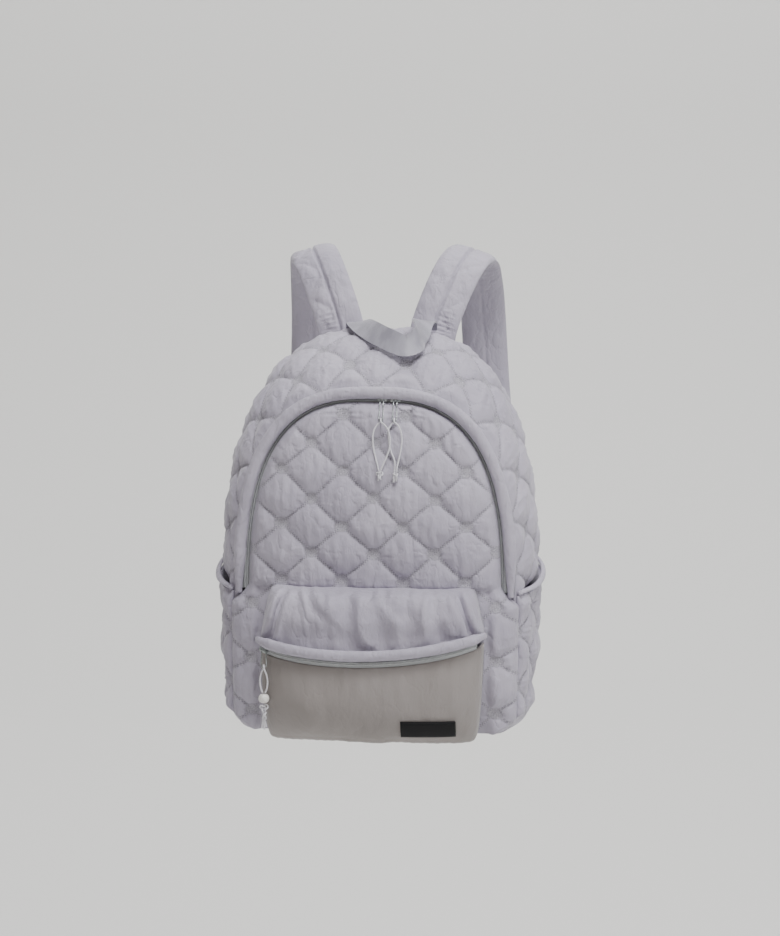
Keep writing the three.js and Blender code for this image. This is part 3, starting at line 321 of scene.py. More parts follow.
class Graph:
    """Small helper that adds nodes with their settings and links."""

    def __init__(self, name):
        self.material = bpy.data.materials.new(name)
        self.material.use_nodes = True
        self.tree = self.material.node_tree
        self.shader = self.tree.nodes["Principled BSDF"]

    def node(self, kind, settings=None, **inputs):
        """Adds a node; an input is given by its name, or by its number as in i0."""
        node = self.tree.nodes.new(kind)
        for key, value in (settings or {}).items():
            setattr(node, key, value)
        for key, value in inputs.items():
            numbered = key[0] == "i" and key[1:].isdigit()
            self.plug(node.inputs[int(key[1:]) if numbered else key.replace("_", " ")], value)
        return node

    def plug(self, socket, value):
        if isinstance(value, bpy.types.NodeSocket):
            self.tree.links.new(value, socket)
        else:
            socket.default_value = value

    def math(self, operation, a, b=0.0):
        return self.node("ShaderNodeMath", {"operation": operation}, i0=a, i1=b).outputs[0]

    def add(self, a, b):
        return self.math("ADD", a, b)

    def sub(self, a, b):
        return self.math("SUBTRACT", a, b)

    def mul(self, a, b):
        return self.math("MULTIPLY", a, b)

    def abs(self, a):
        return self.math("ABSOLUTE", a)

    def zigzag(self, value, size):
        """Goes up from 0 to the size and down again."""
        return self.math("PINGPONG", value, size)

    def step(self, value, low, high):
        settings = {"interpolation_type": "SMOOTHSTEP"}
        return self.node("ShaderNodeMapRange", settings, i0=value, i1=low, i2=high).outputs[0]

    def fade(self, value, low, high):
        """1 below the low value and 0 above the high one."""
        return self.sub(1.0, self.step(value, low, high))

    def mix(self, factor, a, b):
        node = self.node("ShaderNodeMix", {"data_type": "RGBA"}, i0=factor, i6=a, i7=b)
        return node.outputs[2]

    def tones(self, value, low, high, below, above):
        """One hex colour below the low value and another above the high one."""
        return self.mix(self.step(value, low, high), linear(below), linear(above))

    def noise(self, scale, stretch=(1, 1, 1), detail=3.0):
        place = self.node("ShaderNodeTexCoord").outputs["Object"]
        place = self.node("ShaderNodeMapping", None, Vector=place, Scale=stretch).outputs[0]
        return self.node("ShaderNodeTexNoise", None, Vector=place, Scale=scale,
                         Detail=detail).outputs[0]

    def bump(self, height, distance, strength=1.0, normal=None):
        node = self.node("ShaderNodeBump", None, Height=height, Distance=distance,
                         Strength=strength)
        if normal is not None:
            self.plug(node.inputs["Normal"], normal)
        return node.outputs[0]

    def uv(self):
        """UV in millimetres, as two values."""
        place = self.node("ShaderNodeTexCoord").outputs["UV"]
        split = self.node("ShaderNodeSeparateXYZ", None, Vector=place)
        return self.mul(split.outputs[0], 1000.0), self.mul(split.outputs[1], 1000.0)

    def finish(self, colour, roughness, normal=None, metallic=0.0, **sockets):
        self.plug(self.shader.inputs["Base Color"], colour)
        self.plug(self.shader.inputs["Roughness"], roughness)
        self.shader.inputs["Metallic"].default_value = metallic
        if normal is not None:
            self.plug(self.shader.inputs["Normal"], normal)
        for key, value in sockets.items():
            self.shader.inputs[key.replace("_", " ")].default_value = value
        return self.material


FABRIC_LIGHT = "#B5B0BE"
FABRIC_MAIN = "#A9A4B3"
# Colour of the painted shade in the dips along the quilting's sewn lines and crossings
PAINTED_SEAM_SHADE = "#777281"
THREAD_LIGHT = "#D2CFD9"


def quilt_stitches(g):
    """Zigzag thread on the quilting's lines and flowers, and the shade around it."""
    u, v = g.uv()
    first = g.math("DIVIDE", g.add(u, v), PITCH)
    second = g.math("DIVIDE", g.sub(u, v), PITCH)
    off = [g.sub(value, g.math("ROUND", value)) for value in (first, second)]
    across = [g.mul(value, DIAGONAL) for value in off]
    along = [g.mul(value, DIAGONAL) for value in (second, first)]
    du, dv = g.mul(g.add(*off), PITCH / 2), g.mul(g.sub(*off), PITCH / 2)
    squares = [g.math("POWER", g.math("DIVIDE", d, reach), 2.0)
               for d, reach in ((du, 8.5), (dv, 7.0))]
    patch = g.fade(g.math("SQRT", g.add(*squares)), 0.8, 1.15)
    thread = 0.0
    for d, s in zip(across, along):
        zig = g.mul(g.sub(g.zigzag(s, 1.5), 0.75), 1.9)
        line = g.fade(g.abs(g.sub(d, zig)), 0.25, 0.75)
        thread = g.math("MAXIMUM", thread, line)
        # Each crossing is a flower of more zigzags beside the two lines
        zig = g.mul(g.sub(g.zigzag(g.add(s, 0.7), 1.1), 0.55), 1.6)
        for out in (2.1, 4.2):
            beside = g.fade(g.abs(g.sub(g.abs(d), g.add(zig, out))), 0.2, 0.6)
            thread = g.math("MAXIMUM", thread, g.mul(beside, patch))
    # Painted shade: a dark band along each sewn line and over each crossing's flower, where the
    # quilting dips
    near = [g.fade(g.abs(d), 0.5, 2.6) for d in across]
    painted_shade = g.math("MAXIMUM", g.math("MAXIMUM", *near), g.mul(patch, 0.7))
    return thread, painted_shade


def puffer_nylon(name, quilted, light=FABRIC_LIGHT, main=FABRIC_MAIN, crumpled=1.0):
    """Matt down-proof nylon with a soft sheen, a fine weave and drawn wrinkles."""
    g = Graph(name)
    colour = g.tones(g.noise(9.0, detail=2.0), 0.3, 0.7, main, light)
    wrinkle = g.noise(95.0, (1.0, 1.0, 0.45), 5.0)
    fold = g.abs(g.sub(g.noise(42.0, (1.0, 1.0, 0.6), 4.0), 0.5))
    normal = g.bump(wrinkle, 0.004, 0.8 * crumpled)
    normal = g.bump(g.step(fold, 0.0, 0.05), 0.0009, 0.45 * crumpled, normal)
    normal = g.bump(g.noise(1500.0, detail=1.0), 0.0002, 0.5, normal)
    if quilted:
        thread, painted_shade = quilt_stitches(g)
        # Painted shade in the quilting's dips, darker along the sewn lines and round the crossings
        colour = g.mix(g.mul(painted_shade, 0.42), colour, linear(PAINTED_SEAM_SHADE))
        colour = g.mix(g.mul(thread, 0.85), colour, linear(THREAD_LIGHT))
        normal = g.bump(thread, 0.001, 1.0, normal)
    return g.finish(colour, 0.6, normal, Sheen_Weight=0.25, Sheen_Roughness=0.4,
                    Specular_IOR_Level=0.35)


def ribbed_webbing():
    """Satin nylon webbing with a fine cross rib and a diagonal grain."""
    g = Graph("satin_webbing")
    u, v = g.uv()
    colour = g.tones(g.noise(60.0, (1, 1, 0.3)), 0.35, 0.65, "#8A8894", "#9E9CA8")
    normal = g.bump(g.zigzag(v, 0.45), 0.0003, 0.5)
    normal = g.bump(g.zigzag(g.add(u, v), 0.7), 0.0002, 0.4, normal)
    return g.finish(colour, 0.42, normal, Sheen_Weight=0.3, Specular_IOR_Level=0.6)


def zip_tape(name, coil_from, coil_to):
    """Woven zip tape; between the two values, in mm round the section, lies its coil."""
    g = Graph(name)
    u, v = g.uv()
    middle, half = (coil_from + coil_to) / 2, (coil_to - coil_from) / 2
    from_middle = g.abs(g.sub(u, middle))
    coil = g.fade(from_middle, half - 0.3, half + 0.3)
    # Painted shade: a thin dark line along each edge of the coil, in the crevice where the coil
    # meets the tape
    line = g.fade(g.abs(g.sub(from_middle, half)), 0.15, 0.45)
    tooth = g.zigzag(v, 0.65)
    weave = g.zigzag(g.add(u, v), 0.5)
    tape = g.tones(weave, 0.1, 0.4, "#A5A8AA", "#B6B9BB")
    teeth = g.tones(tooth, 0.1, 0.4, "#898C8E", "#C8CBCC")
    colour = g.mix(line, g.mix(coil, tape, teeth), linear("#5A5C60"))
    normal = g.bump(g.mul(tooth, coil), 0.0006, 0.8)
    normal = g.bump(weave, 0.0002, 0.4, normal)
    return g.finish(colour, 0.5, normal, Specular_IOR_Level=0.4)


def satin_nickel():
    """Brushed nickel plating on the sliders and the bent wires."""
    g = Graph("satin_nickel")
    colour = g.tones(g.noise(400.0), 0.4, 0.6, "#9AA0A0", "#B9BEBE")
    return g.finish(colour, 0.28, g.bump(g.noise(900.0, detail=1.0), 0.0001, 0.3), metallic=1.0)


def braided_cord():
    """Thin white waxed cord, braided."""
    g = Graph("braided_cord")
    u, v = g.uv()
    braid = g.mul(g.zigzag(g.add(u, v), 0.6), g.zigzag(g.sub(v, u), 0.6))
    colour = g.tones(braid, 0.02, 0.2, "#C9C8CF", "#F0EFF3")
    return g.finish(colour, 0.6, g.bump(braid, 0.0004, 0.7), Sheen_Weight=0.2)


def cream_bead():
    """Glazed cream bead with a faint mottle."""
    g = Graph("cream_bead")
    colour = g.tones(g.noise(500.0), 0.35, 0.7, "#DEDBD6", "#F3F1EE")
    return g.finish(colour, 0.35, g.bump(g.noise(300.0), 0.0002, 0.4), Coat_Weight=0.3)


def woven_label():
    """Black woven patch, bare."""
    g = Graph("black_woven_label")
    u, v = g.uv()
    weave = g.add(g.zigzag(u, 0.35), g.zigzag(v, 0.35))
    colour = g.tones(weave, 0.1, 0.6, "#08080A", "#151518")
    return g.finish(colour, 0.6, g.bump(weave, 0.0003, 0.6), Specular_IOR_Level=0.2)


def buckle_plastic():
    """Moulded acetal in the cloth's grey."""
    g = Graph("acetal_buckle")
    colour = g.tones(g.noise(200.0), 0.35, 0.7, "#85878F", "#8F9199")
    return g.finish(colour, 0.42, g.bump(g.noise(1200.0, detail=1.0), 0.0001, 0.4))


QUILTED = puffer_nylon("quilted_puffer_nylon", True)
PLAIN = puffer_nylon("plain_puffer_nylon", False)
POUCH = puffer_nylon("pouch_puffer_nylon", False, "#97918F", "#8C8683", 0.45)
WEBBING = ribbed_webbing()
MAIN_ZIP = zip_tape("zip_tape_and_coil", 31.8, 36.8)
POCKET_ZIP = zip_tape("pocket_zip_tape_and_coil", 12.6, 18.6)
NICKEL = satin_nickel()
CORD_WHITE = braided_cord()
BEAD = cream_bead()
LABEL = woven_label()
BUCKLE = buckle_plastic()

# Body form
# Depth of a section, and its shares of the body's half width and of its height
BODY_SECTIONS = [(0.0, 0.955, 0.992), (0.3, 1.0, 0.985), (0.65, 0.985, 0.948), (1.0, 0.905, 0.877)]


def arch_line(depth):
    """Arch of the body at a depth, from its left foot over the crown to its right foot."""
    half = BODY_HALF * float(follow(BODY_SECTIONS, 1, depth))
    rise = BODY_HEIGHT * float(follow(BODY_SECTIONS, 2, depth)) - WIDEST_Z
    t = np.linspace(0, np.pi / 2, 97)
    right = list(zip(half * np.sin(t) ** (2 / ARCH_POWER),
                     WIDEST_Z + rise * np.cos(t) ** (2 / ARCH_POWER)))
    taper = lambda z: 1 - FOOT_TAPER * ((WIDEST_Z - z) / WIDEST_Z) ** 2
    for k in range(1, 13):
        z = lerp(WIDEST_Z, CORNER_RADIUS, k / 12)
        right.append((half * taper(z), z))
    foot_x = half * taper(CORNER_RADIUS) - CORNER_RADIUS
    for k in range(1, 13):
        t = np.pi / 2 * k / 12
        right.append((foot_x + CORNER_RADIUS * math.cos(t), CORNER_RADIUS * (1 - math.sin(t))))
    line = np.array([(-x, z) for x, z in right[:0:-1]] + right)
    return line, run_lengths(line)


ARCHES = {}


def arch_at(depth):
    key = round(float(depth), 5)
    if key not in ARCHES:
        ARCHES[key] = arch_line(key)
    return ARCHES[key]


MAIN_LENGTH = arch_at(0.3)[1][-1]


def mouth_z(depth):
    return lerp(MOUTH_BACK_Z, MOUTH_FRONT_Z, depth)


def body_row(shares, depth):
    """Points of the body's seam surface at one depth."""
    line, lengths = arch_at(depth)
    reach = np.clip(shares, 0, 1) * lengths[-1]
    x, z = np.interp(reach, lengths, line[:, 0]), np.interp(reach, lengths, line[:, 1])
    mouth = mouth_z(depth)
    below_mouth = (1 - smooth(z, mouth - 25, mouth + 12)) * smooth(z, 0, 60)
    press = SIDE_PRESS * below_mouth * float(1 - smooth(depth, 0.7, 1))
    y = np.full_like(x, BACK_Y - BODY_DEPTH * depth)
    return np.stack([x - np.sign(x) * press, y, z], axis=-1)


def grid_normals(points, outward):
    """Unit normals of a grid of points, turned so that its middle faces outward."""
    normal = unit(np.cross(np.gradient(points, axis=0), np.gradient(points, axis=1)))
    middle = normal[points.shape[0] // 2, points.shape[1] // 2]
    return -normal if np.dot(middle, outward) < 0 else normal


def warp(u, v):
    """Sewn lines wander a little from the drawn grid."""
    return (u + 1.5 * (noise(u / 31 + 3, v / 37) - 0.2 * noise(u / 13, v / 11)),
            v + 1.5 * (noise(u / 37, v / 29 + 7) + 0.2 * noise(u / 12 + 5, v / 14)))


def quilt(u, v, wrinkles=1.0):
    """Height of the quilting: domed diamonds, flat stitched crossings, drawn wrinkles."""
    first, second = (u + v) / PITCH, (u - v) / PITCH
    s1, s2 = np.abs(np.sin(np.pi * first)), np.abs(np.sin(np.pi * second))
    o1, o2 = first - np.round(first), second - np.round(second)
    du, dv = (o1 + o2) * PITCH / 2, (o1 - o2) * PITCH / 2
    radius = np.hypot(du / FLOWER_HALF_X, dv / FLOWER_HALF_Z)
    dome = (s1 * s2) ** 0.4 * smooth(radius, 0.45, 1.4)
    cell = np.floor(first) * 1.7 + np.floor(second) * 2.9
    wave = np.sin(2 * np.pi * u / 11.5 + cell + 2.8 * noise(u / 24, v / 40))
    drawn = np.sin(dv + cell + noise(u / 9, v / 9)) * np.exp(-(dv / FLOWER_HALF_Z) ** 2)
    drawn = drawn * smooth(np.abs(du), 5, 9) * (1 - smooth(np.abs(du), 16, 27))
    tucks = 0.0
    for off, along in ((o1, second), (o2, first)):
        ripple = np.sin(2 * np.pi * along * DIAGONAL / 5.3 + 3 * noise(u / 11, v / 11))
        away_from = np.abs(off) * DIAGONAL
        tucks = tucks + ripple * np.exp(-away_from / 3.4) * smooth(away_from, 0.2, 1.6)
    lumps = noise(u / 15 + 9, v / 19) + noise(u / 6, v / 8 + 4) * 0.55
    crumple = noise(u / 2.6, v / 2.3) * (1 - smooth(radius, 0.8, 1.2))
    detail = dome * (0.42 * wave + lumps) + 0.8 * drawn + 0.5 * crumple + 0.5 * tucks
    return PUFF * dome + wrinkles * detail


# Zip pulls and cords
def front_line(inset, shares):
    """Front seam line moved in from the edge, with its outward side."""
    line = lambda s: body_row(np.asarray(s), 1.0)
    along = unit(line(shares + 0.004) - line(shares - 0.004))
    out = np.stack([-along[:, 2], np.zeros(len(along)), along[:, 0]], axis=-1)
    point = line(shares)
    amount = inset(point[:, 2]) if callable(inset) else inset
    return point - out * np.reshape(amount, (-1, 1)), out


# Cord points from the sliders, as in the part
CORD_ROUTE_LEFT = np.array([
    [-8.7, -31.3, -76.2], [-10.2, -29.3, -70.2], [-12.8, -26.9, -61.2], [-15.2, -24.3, -51.2],
    [-16.0, -22.3, -41.2], [-14.6, -20.1, -32.2], [-11.0, -17.7, -26.4], [-7.8, -16.5, -23.0],
    [-7.5, -19.3, -19.8], [-7.2, -22.3, -23.0], [-3.4, -23.1, -26.2], [0.8, -24.3, -31.2],
    [3.2, -26.1, -40.2], [3.2, -27.7, -50.2], [0.4, -29.3, -60.2], [-3.6, -30.9, -69.2],
    [-6.3, -31.9, -76.2]])
CORD_ROUTE_RIGHT = np.array([
    [8.6, -30.7, -78.0], [9.4, -28.9, -70.2], [7.8, -26.7, -63.2], [4.6, -24.9, -56.2],
    [2.4, -23.1, -47.2], [1.2, -21.3, -38.2], [1.6, -19.3, -30.7], [4.4, -17.5, -26.0],
    [7.2, -16.5, -23.0], [7.5, -19.3, -19.8], [7.8, -22.3, -23.0], [11.4, -22.5, -26.0],
    [14.6, -23.1, -31.7], [16.5, -24.5, -41.2], [15.6, -26.7, -53.2], [13.2, -29.1, -65.2],
    [11.6, -31.1, -73.2], [11.0, -31.7, -78.0]])
CORD_ROUTE_POCKET = np.array([
    [-1.4, -7.1, -47.6], [-3.6, -6.9, -41.4], [-4.4, -6.5, -33.4], [-3.0, -5.9, -25.4],
    [-0.9, -5.5, -20.0], [0.0, -8.1, -15.8], [0.9, -10.9, -20.0], [2.8, -9.7, -25.4],
    [4.2, -8.5, -33.4], [3.6, -7.7, -41.4], [1.4, -7.1, -47.6]])
COIL_FRONT = SEAM_Y - GAP - TAPE_THICK - COIL_HEIGHT - GAP
PULLS_AT = np.array([SLIDERS_X, COIL_FRONT, front_line(COIL_INSET, np.array([0.5]))[0][0, 2]])
POCKET_PULL_AT = np.array([-117.9, -194.93, 102.27])
CORD_SECTION = ellipse(CORD, CORD, 10)
KNOT_SEAT = np.array([0, 0, -0.7])


def cord_tube(name, route, steps=120):
    """Cord along a route, with its path in metres and its length."""
    at, side, face = tube_frames(route, steps)
    tube = strip(name, at, side, face, CORD_SECTION, CORD_WHITE)
    path = world(at)
    return tube, path, float(run_lengths(path)[-1])


def joined_cords(name, lines):
    """One piece of several cord ends, each a list of points."""
    parts, base = [], 0
    for line in lines:
        at, side, face = tube_frames(line, max(8, 6 * len(line)))
        verts, quads, uv, caps, cap_uv = strip_mesh(at, side, face, CORD_SECTION)
        parts.append((verts, quads + base, uv, caps + base, cap_uv))
        base += len(verts)
    verts, quads, uv, caps, cap_uv = (np.concatenate(group) for group in zip(*parts))
    return make_piece(name, verts, [quads, caps], [uv, cap_uv], CORD_WHITE)


def overhand_knot(top, radius, height, turned=0.0):
    """Points of a small overhand knot just below its top."""
    t = np.linspace(0, 2 * np.pi, 40)[:-2]
    x, y, z = np.sin(t) + 2 * np.sin(2 * t), np.cos(t) - 2 * np.cos(2 * t), -np.sin(3 * t)
    c, s = math.cos(turned), math.sin(turned)
    px, py = (c * x - s * z) * radius / 3, (s * x + c * z) * radius / 2.2
    return np.stack([px + top[0], py + top[1], y * height / 6 + top[2] - height / 2], axis=-1)


def main_pull(name, route, turned):
    """Looped cord of a main slider with its knot and two loose ends."""
    cord, path, length = cord_tube(f"pull_cord_{name}", route)
    top = (route[0] + route[-1]) / 2 + KNOT_SEAT
    lines = [overhand_knot(top, 3.6, 7.8, turned)]
    for k, (side, swing) in enumerate(((-1, -1.6), (1, 1.1))):
        end, foot = [side, -0.4, 0.6], [swing, -0.5 + 0.5 * k, -10.6 + 1.2 * k]
        lines.append(top + np.array([end, [0.4 * swing, 0, -3.2], [0.7 * swing, -0.4, -7.0], foot]))
    knot = joined_cords(f"pull_knot_{name}", lines)
    tuple(path[0])


main_pull("left", PULLS_AT + CORD_ROUTE_LEFT, 0.4)
main_pull("right", PULLS_AT + CORD_ROUTE_RIGHT, -0.7)

# Pocket pull's cord with its bead and the braided end
pocket_route = POCKET_PULL_AT + CORD_ROUTE_POCKET
pocket_cord, pocket_path, pocket_length = cord_tube("pocket_cord", pocket_route, 90)
bead_top = (pocket_route[0] + pocket_route[-1]) / 2 + KNOT_SEAT
BEAD_RADIUS = 6.2
bead_centre = bead_top + [0, 0, 0.7 - BEAD_RADIUS]
bpy.ops.object.select_all(action="DESELECT")
bpy.ops.mesh.primitive_uv_sphere_add(
    segments=40, ring_count=24, radius=BEAD_RADIUS / 1000, location=world(bead_centre))
pocket_bead = bpy.context.object
bpy.ops.object.transform_apply(location=True, rotation=True, scale=True)
# Flattened and fluted, with the cord's hole sunk into both ends
centre_m = world(bead_centre)
for vertex in pocket_bead.data.vertices:
    x, y, z = np.array(vertex.co) - centre_m
    around, out, reach = math.atan2(y, x), math.hypot(x, y), BEAD_RADIUS / 1000
    sunk = math.exp(-(out / (0.3 * reach)) ** 2)
    flute = 1 - 0.06 * (0.5 + 0.5 * math.cos(6 * around)) * (1 - abs(z / reach))
    vertex.co = centre_m + np.array([x * flute, y * flute, z * (0.9 - 0.25 * sunk)])
bpy.ops.object.shade_smooth()
finish_piece(pocket_bead, "pocket_bead", BEAD)
braid_top = bead_top + [0, 0, 0.6 - 2 * BEAD_RADIUS]
braid = [overhand_knot(braid_top, 4.6, 9.0, 0.3),
         overhand_knot(braid_top + [0.4, 0, -8.0], 4.4, 9.5, 1.9)]
for swing, drop in ((-2.4, -28.0), (0.6, -29.0), (2.6, -26.0)):
    ends = [[0.2 * swing, 0, -15.0], [0.5 * swing, -0.6, -20.0], [swing, 0, drop]]
    braid.append(braid_top + np.array(ends))
pocket_knot = joined_cords("pocket_knot", braid)
tuple(pocket_path[0])


# Gusset, base and back
def make_gusset():
    lengths = np.linspace(-MAIN_LENGTH / 2, MAIN_LENGTH / 2, 460)
    depths = np.linspace(0, 1, 54)
    base = np.array([body_row(0.5 + lengths / MAIN_LENGTH, d) for d in depths])
    normal = grid_normals(base, (0, 0, 1))
    u, d = np.meshgrid(lengths, depths)
    edge = smooth(np.minimum(d, 1 - d) * BODY_DEPTH, 0, 9) * smooth(base[..., 2], 0, 12)
    u, v = warp(u, d * BODY_DEPTH)
    above_pockets = smooth(base[..., 2], mouth_z(d) - 30, mouth_z(d) + 15)
    lift = quilt(u, v) * above_pockets * edge
    outer = base + normal * lift[..., None]
    inner = base - normal * 4.0
    for grid in (outer, inner):
        grid[0, :, 1], grid[-1, :, 1] = BACK_Y, SEAM_Y
    piece = shell("gusset", outer, inner, np.stack([u, v], -1), QUILTED)


def make_base():
    depths = np.linspace(0, 1, 40)
    columns = np.linspace(-1, 1, 100)
    foot = np.array([body_row(np.array([1.0]), d)[0, 0] for d in depths]) - 0.5
    x = foot[:, None] * columns
    y = np.repeat((BACK_Y - BODY_DEPTH * depths)[:, None], len(columns), axis=1)
    edge = smooth(foot[:, None] - np.abs(x), 0, 14)
    edge = edge * smooth(np.minimum(depths, 1 - depths) * BODY_DEPTH, 0, 12)[:, None]
    puff = edge * (2.2 + 0.8 * noise(x / 30, y / 26))
    outer = np.stack([x, y, -puff], -1)
    inner = np.stack([x, y, np.full_like(x, WALL)], -1)
    piece = shell("base_panel", outer, inner, np.stack([x, y], -1), PLAIN)


HUB_Z = 190.0


def make_back():
    """Quilted back as rings round a hub, with a flat side towards the inside."""
    rings = np.concatenate([np.linspace(0.0, 0.9, 62)[1:], np.linspace(0.91, 1.0, 8)])
    centre = np.array([0.0, HUB_Z])
    keep = arch_at(0.0)[0][::2]
    points = centre + (keep - centre)[None] * rings[:, None, None]
    x, z = points[..., 0], points[..., 1]
    inset = (1 - rings)[:, None] * np.linalg.norm(keep - centre, axis=1)[None]
    edge = smooth(inset, 0, 16)
    front = -4.0 + 0.589 * quilt(x, z, 0.8) * edge
    front = np.minimum(front, -0.2) - 5.5 * (1 - smooth(inset, 0, 5))
    n, m = x.shape
    hub, rim, low = n * m, (n - 1) * m, n * m + 1
    back = np.stack([keep[:, 0], np.full(m, -10.0), keep[:, 1]], -1)
    verts = np.concatenate([
        np.stack([x, front, z], -1).reshape(-1, 3), [[centre[0], -3.0, centre[1]]],
        back, [[centre[0], -10.0, centre[1]]]])
    ring = np.arange(m)
    following = np.roll(ring, -1)
    wall = np.stack([rim + ring, rim + following, low + following, low + ring], -1)
    quads = np.concatenate([grid_faces(n, m, ring=True), wall])
    tris = np.concatenate([np.stack([np.full(m, hub), following, ring], -1),
                           np.stack([np.full(m, low + m), low + ring, low + following], -1)])
    uv = verts[:, [0, 2]] / 1000
    piece = make_piece("back_panel", verts, [quads, tris], [uv[quads], uv[tris]], QUILTED)


make_gusset()
make_base()
make_back()

# Front panel
PANEL_INSET = COIL_INSET + COIL_WIDTH / 2 + 1.2
panel_inset = lambda z: lerp(1, PANEL_INSET, smooth(z, ZIP_END_Z - 30, ZIP_END_Z - 4))
PANEL_EDGE = front_line(panel_inset, np.linspace(0.5, 1, 400))[0]
PANEL_TOP_Z = PANEL_EDGE[0, 2]
EDGE_ORDER = np.argsort(PANEL_EDGE[:, 2])


def panel_half(z):
    return np.maximum(np.interp(z, PANEL_EDGE[EDGE_ORDER, 2], PANEL_EDGE[EDGE_ORDER, 0]), 1.0)


def dome_y(x, z):
    side = 1 - np.clip(np.abs(x) / panel_half(z), 0, 1) ** 3.2
    low = 1 - (1 - np.clip(z / 90, 0, 1)) ** 2.2
    high = 1 - (1 - np.clip((PANEL_TOP_Z - z) / 150, 0, 1)) ** 2
    return PANEL_BACK_Y - WALL - DOME_BULGE * side ** 0.75 * low * high


FRONT_CROSSING_Z = 270.0


def front_v(z):
    """Place up the front quilting's grid, counted from a crossing."""
    return (z - FRONT_CROSSING_Z) * PITCH / FRONT_PITCH_Z


def make_front():
    top = PANEL_TOP_Z - 0.6
    near_top = top - np.linspace(30 ** 0.5, 0, 26)[1:] ** 2
    z_levels = np.concatenate([np.linspace(2, top - 30, 138), near_top])
    shares = np.linspace(-1, 1, 158)
    z = np.repeat(z_levels[:, None], len(shares), axis=1)
    x = panel_half(z) * shares
    from_edge = np.minimum(panel_half(z) - np.abs(x), PANEL_TOP_Z - z)
    beside = smooth(np.abs(x), POCKET_HALF + 1, POCKET_HALF + 12)
    above = smooth(z, POCKET_TOP_Z - 8, POCKET_TOP_Z + 2)
    across, down = warp(x * PITCH / FRONT_PITCH_X, front_v(z))
    low = 1 - smooth(z, ZIP_END_Z - 30, ZIP_END_Z - 12)
    edge = np.maximum(smooth(from_edge, 0, 10),
                      low * smooth(from_edge, -1, 3) * smooth(z, 2, 12))
    lift = quilt(across, down) * edge * np.maximum(beside, above)
    # Gathers under the zip at the upper right, and fainter ones all along the zip
    gather = smooth(x, 28, 55) * (1 - smooth(x, 112, 130)) * smooth(z, 318, 340)
    gather *= smooth(from_edge, 0, 6) * (1 - smooth(from_edge, 12, 46))
    lift += gather * np.sin(2 * np.pi * x / 11 + 2.4 * noise(x / 26, z / 34))
    faint = edge * (1 - smooth(from_edge, 6, 22)) * smooth(z, 180, 220)
    lift += faint * 0.6 * noise(x / 5, z / 7)
    # Below the zip the panel's edge turns back to the side pocket's seam
    turned_back = (1 - np.clip(from_edge / 9, 0, 1)) ** 2.2 * low * 11.0
    wider = (1 - smooth(from_edge, 0, 14)) * low * 5.0 * np.sign(x) * smooth(z, 4, 20)
    # The edge beside the zip is rounded over
    rounded_over = (1 - np.clip(from_edge / 7, 0, 1)) ** 2 * (1 - low) * 4.5
    y = dome_y(x, z) - lift + turned_back + rounded_over
    outer = np.stack([x + wider, y, z], -1)
    inner = np.stack([x + wider * 0.6, np.maximum(dome_y(x, z), y) + 3.0, z], -1)
    uv = np.stack([across, down], -1)
    piece = shell("front_panel", outer, inner, uv, QUILTED)


make_front()


# Main zip
def share_of_height(height, depth):
    line, lengths = arch_at(depth)
    middle = len(line) // 2
    return float(np.interp(-height, -line[middle:, 1], lengths[middle:])) / lengths[-1]


ZIP_START = 1 - share_of_height(ZIP_END_Z, 1.0)


def make_main_zip():
    shares = np.linspace(ZIP_START - 0.012, 1.012 - ZIP_START, 220)
    at, side = front_line(COIL_INSET, shares)
    at[:, 1] = SEAM_Y - GAP
    face = np.tile([0.0, -1.0, 0.0], (len(at), 1))
    w, c, h = TAPE_WIDTH / 2, COIL_WIDTH / 2, TAPE_THICK
    section = np.array([
        [-w, 0], [w, 0], [w, h], [c + 0.4, h], [c, h + COIL_HEIGHT * 0.7],
        [c * 0.5, h + COIL_HEIGHT], [0, h + COIL_HEIGHT * 0.72], [-c * 0.5, h + COIL_HEIGHT],
        [-c, h + COIL_HEIGHT * 0.7], [-c - 0.4, h], [-w, h]])
    strip("main_zip", at, side, face, section, MAIN_ZIP, 35)


def puffed_roll(name, at, side, face, width, deep, taper):
    """Soft roll of cloth with small gathers; taper(t) shrinks its ends."""
    angle = 2 * np.pi * (np.arange(28) + 0.5) / 28
    length = run_lengths(at)[-1]

    def section(t):
        run = t * length
        swell = 0.035 * noise(np.array(run / 23), np.array(3.0))
        gather = 0.03 * noise(run / 4.2 + 0 * angle, 2 * np.cos(angle))
        size = taper(t) * (1 + swell + gather)
        return np.stack([width / 2 * np.cos(angle) * size, deep / 2 * np.sin(angle) * size], -1)

    strip(name, at, side, face, section, PLAIN)


def make_band():
    end = ZIP_START - 0.017
    shares = np.linspace(end, 1 - end, 300)
    at, side = front_line(BAND_WIDTH / 2 - 1.0, shares)
    at[:, 1] = SEAM_Y - TAPE_THICK - 2 * GAP - BAND_DEEP / 2
    face = np.tile([0.0, -1.0, 0.0], (len(at), 1))
    taper = lambda t: lerp(0.5, 1, smooth(min(t, 1 - t) * 34, 0, 2.4))
    puffed_roll("zip_band", at, side, face, BAND_WIDTH + 0.6, BAND_DEEP + 1, taper)


make_main_zip()
make_band()

# Front pocket
# Rows of the two parts of the pocket: place, share of the depth, of the height, of the width
POUCH_PROFILE = [(0.0, 0.0, 0.14, 0.86), (0.16, 0.54, 0.0, 0.9), (0.34, 0.95, 0.06, 0.94),
                 (0.62, 1.08, 0.4, 0.975), (1.0, 0.94, 1.0, 1.0)]
HOOD_PROFILE = [(0.0, 0.86, 0.0, 1.0), (0.25, 0.92, 0.26, 0.985), (0.5, 1.0, 0.6, 0.955),
                (0.78, 0.74, 0.93, 0.915), (1.0, 0.0, 1.0, 0.86)]
pocket_zip_z = lambda x: (POCKET_ZIP_Z + POCKET_ZIP_SAG * (x / POCKET_HALF) ** 2
                          + POCKET_ZIP_TILT * x / POCKET_HALF)
FOLD_PITCH, TUCK_X, TUCK_HALF = 34.0, 0.8, 8.0


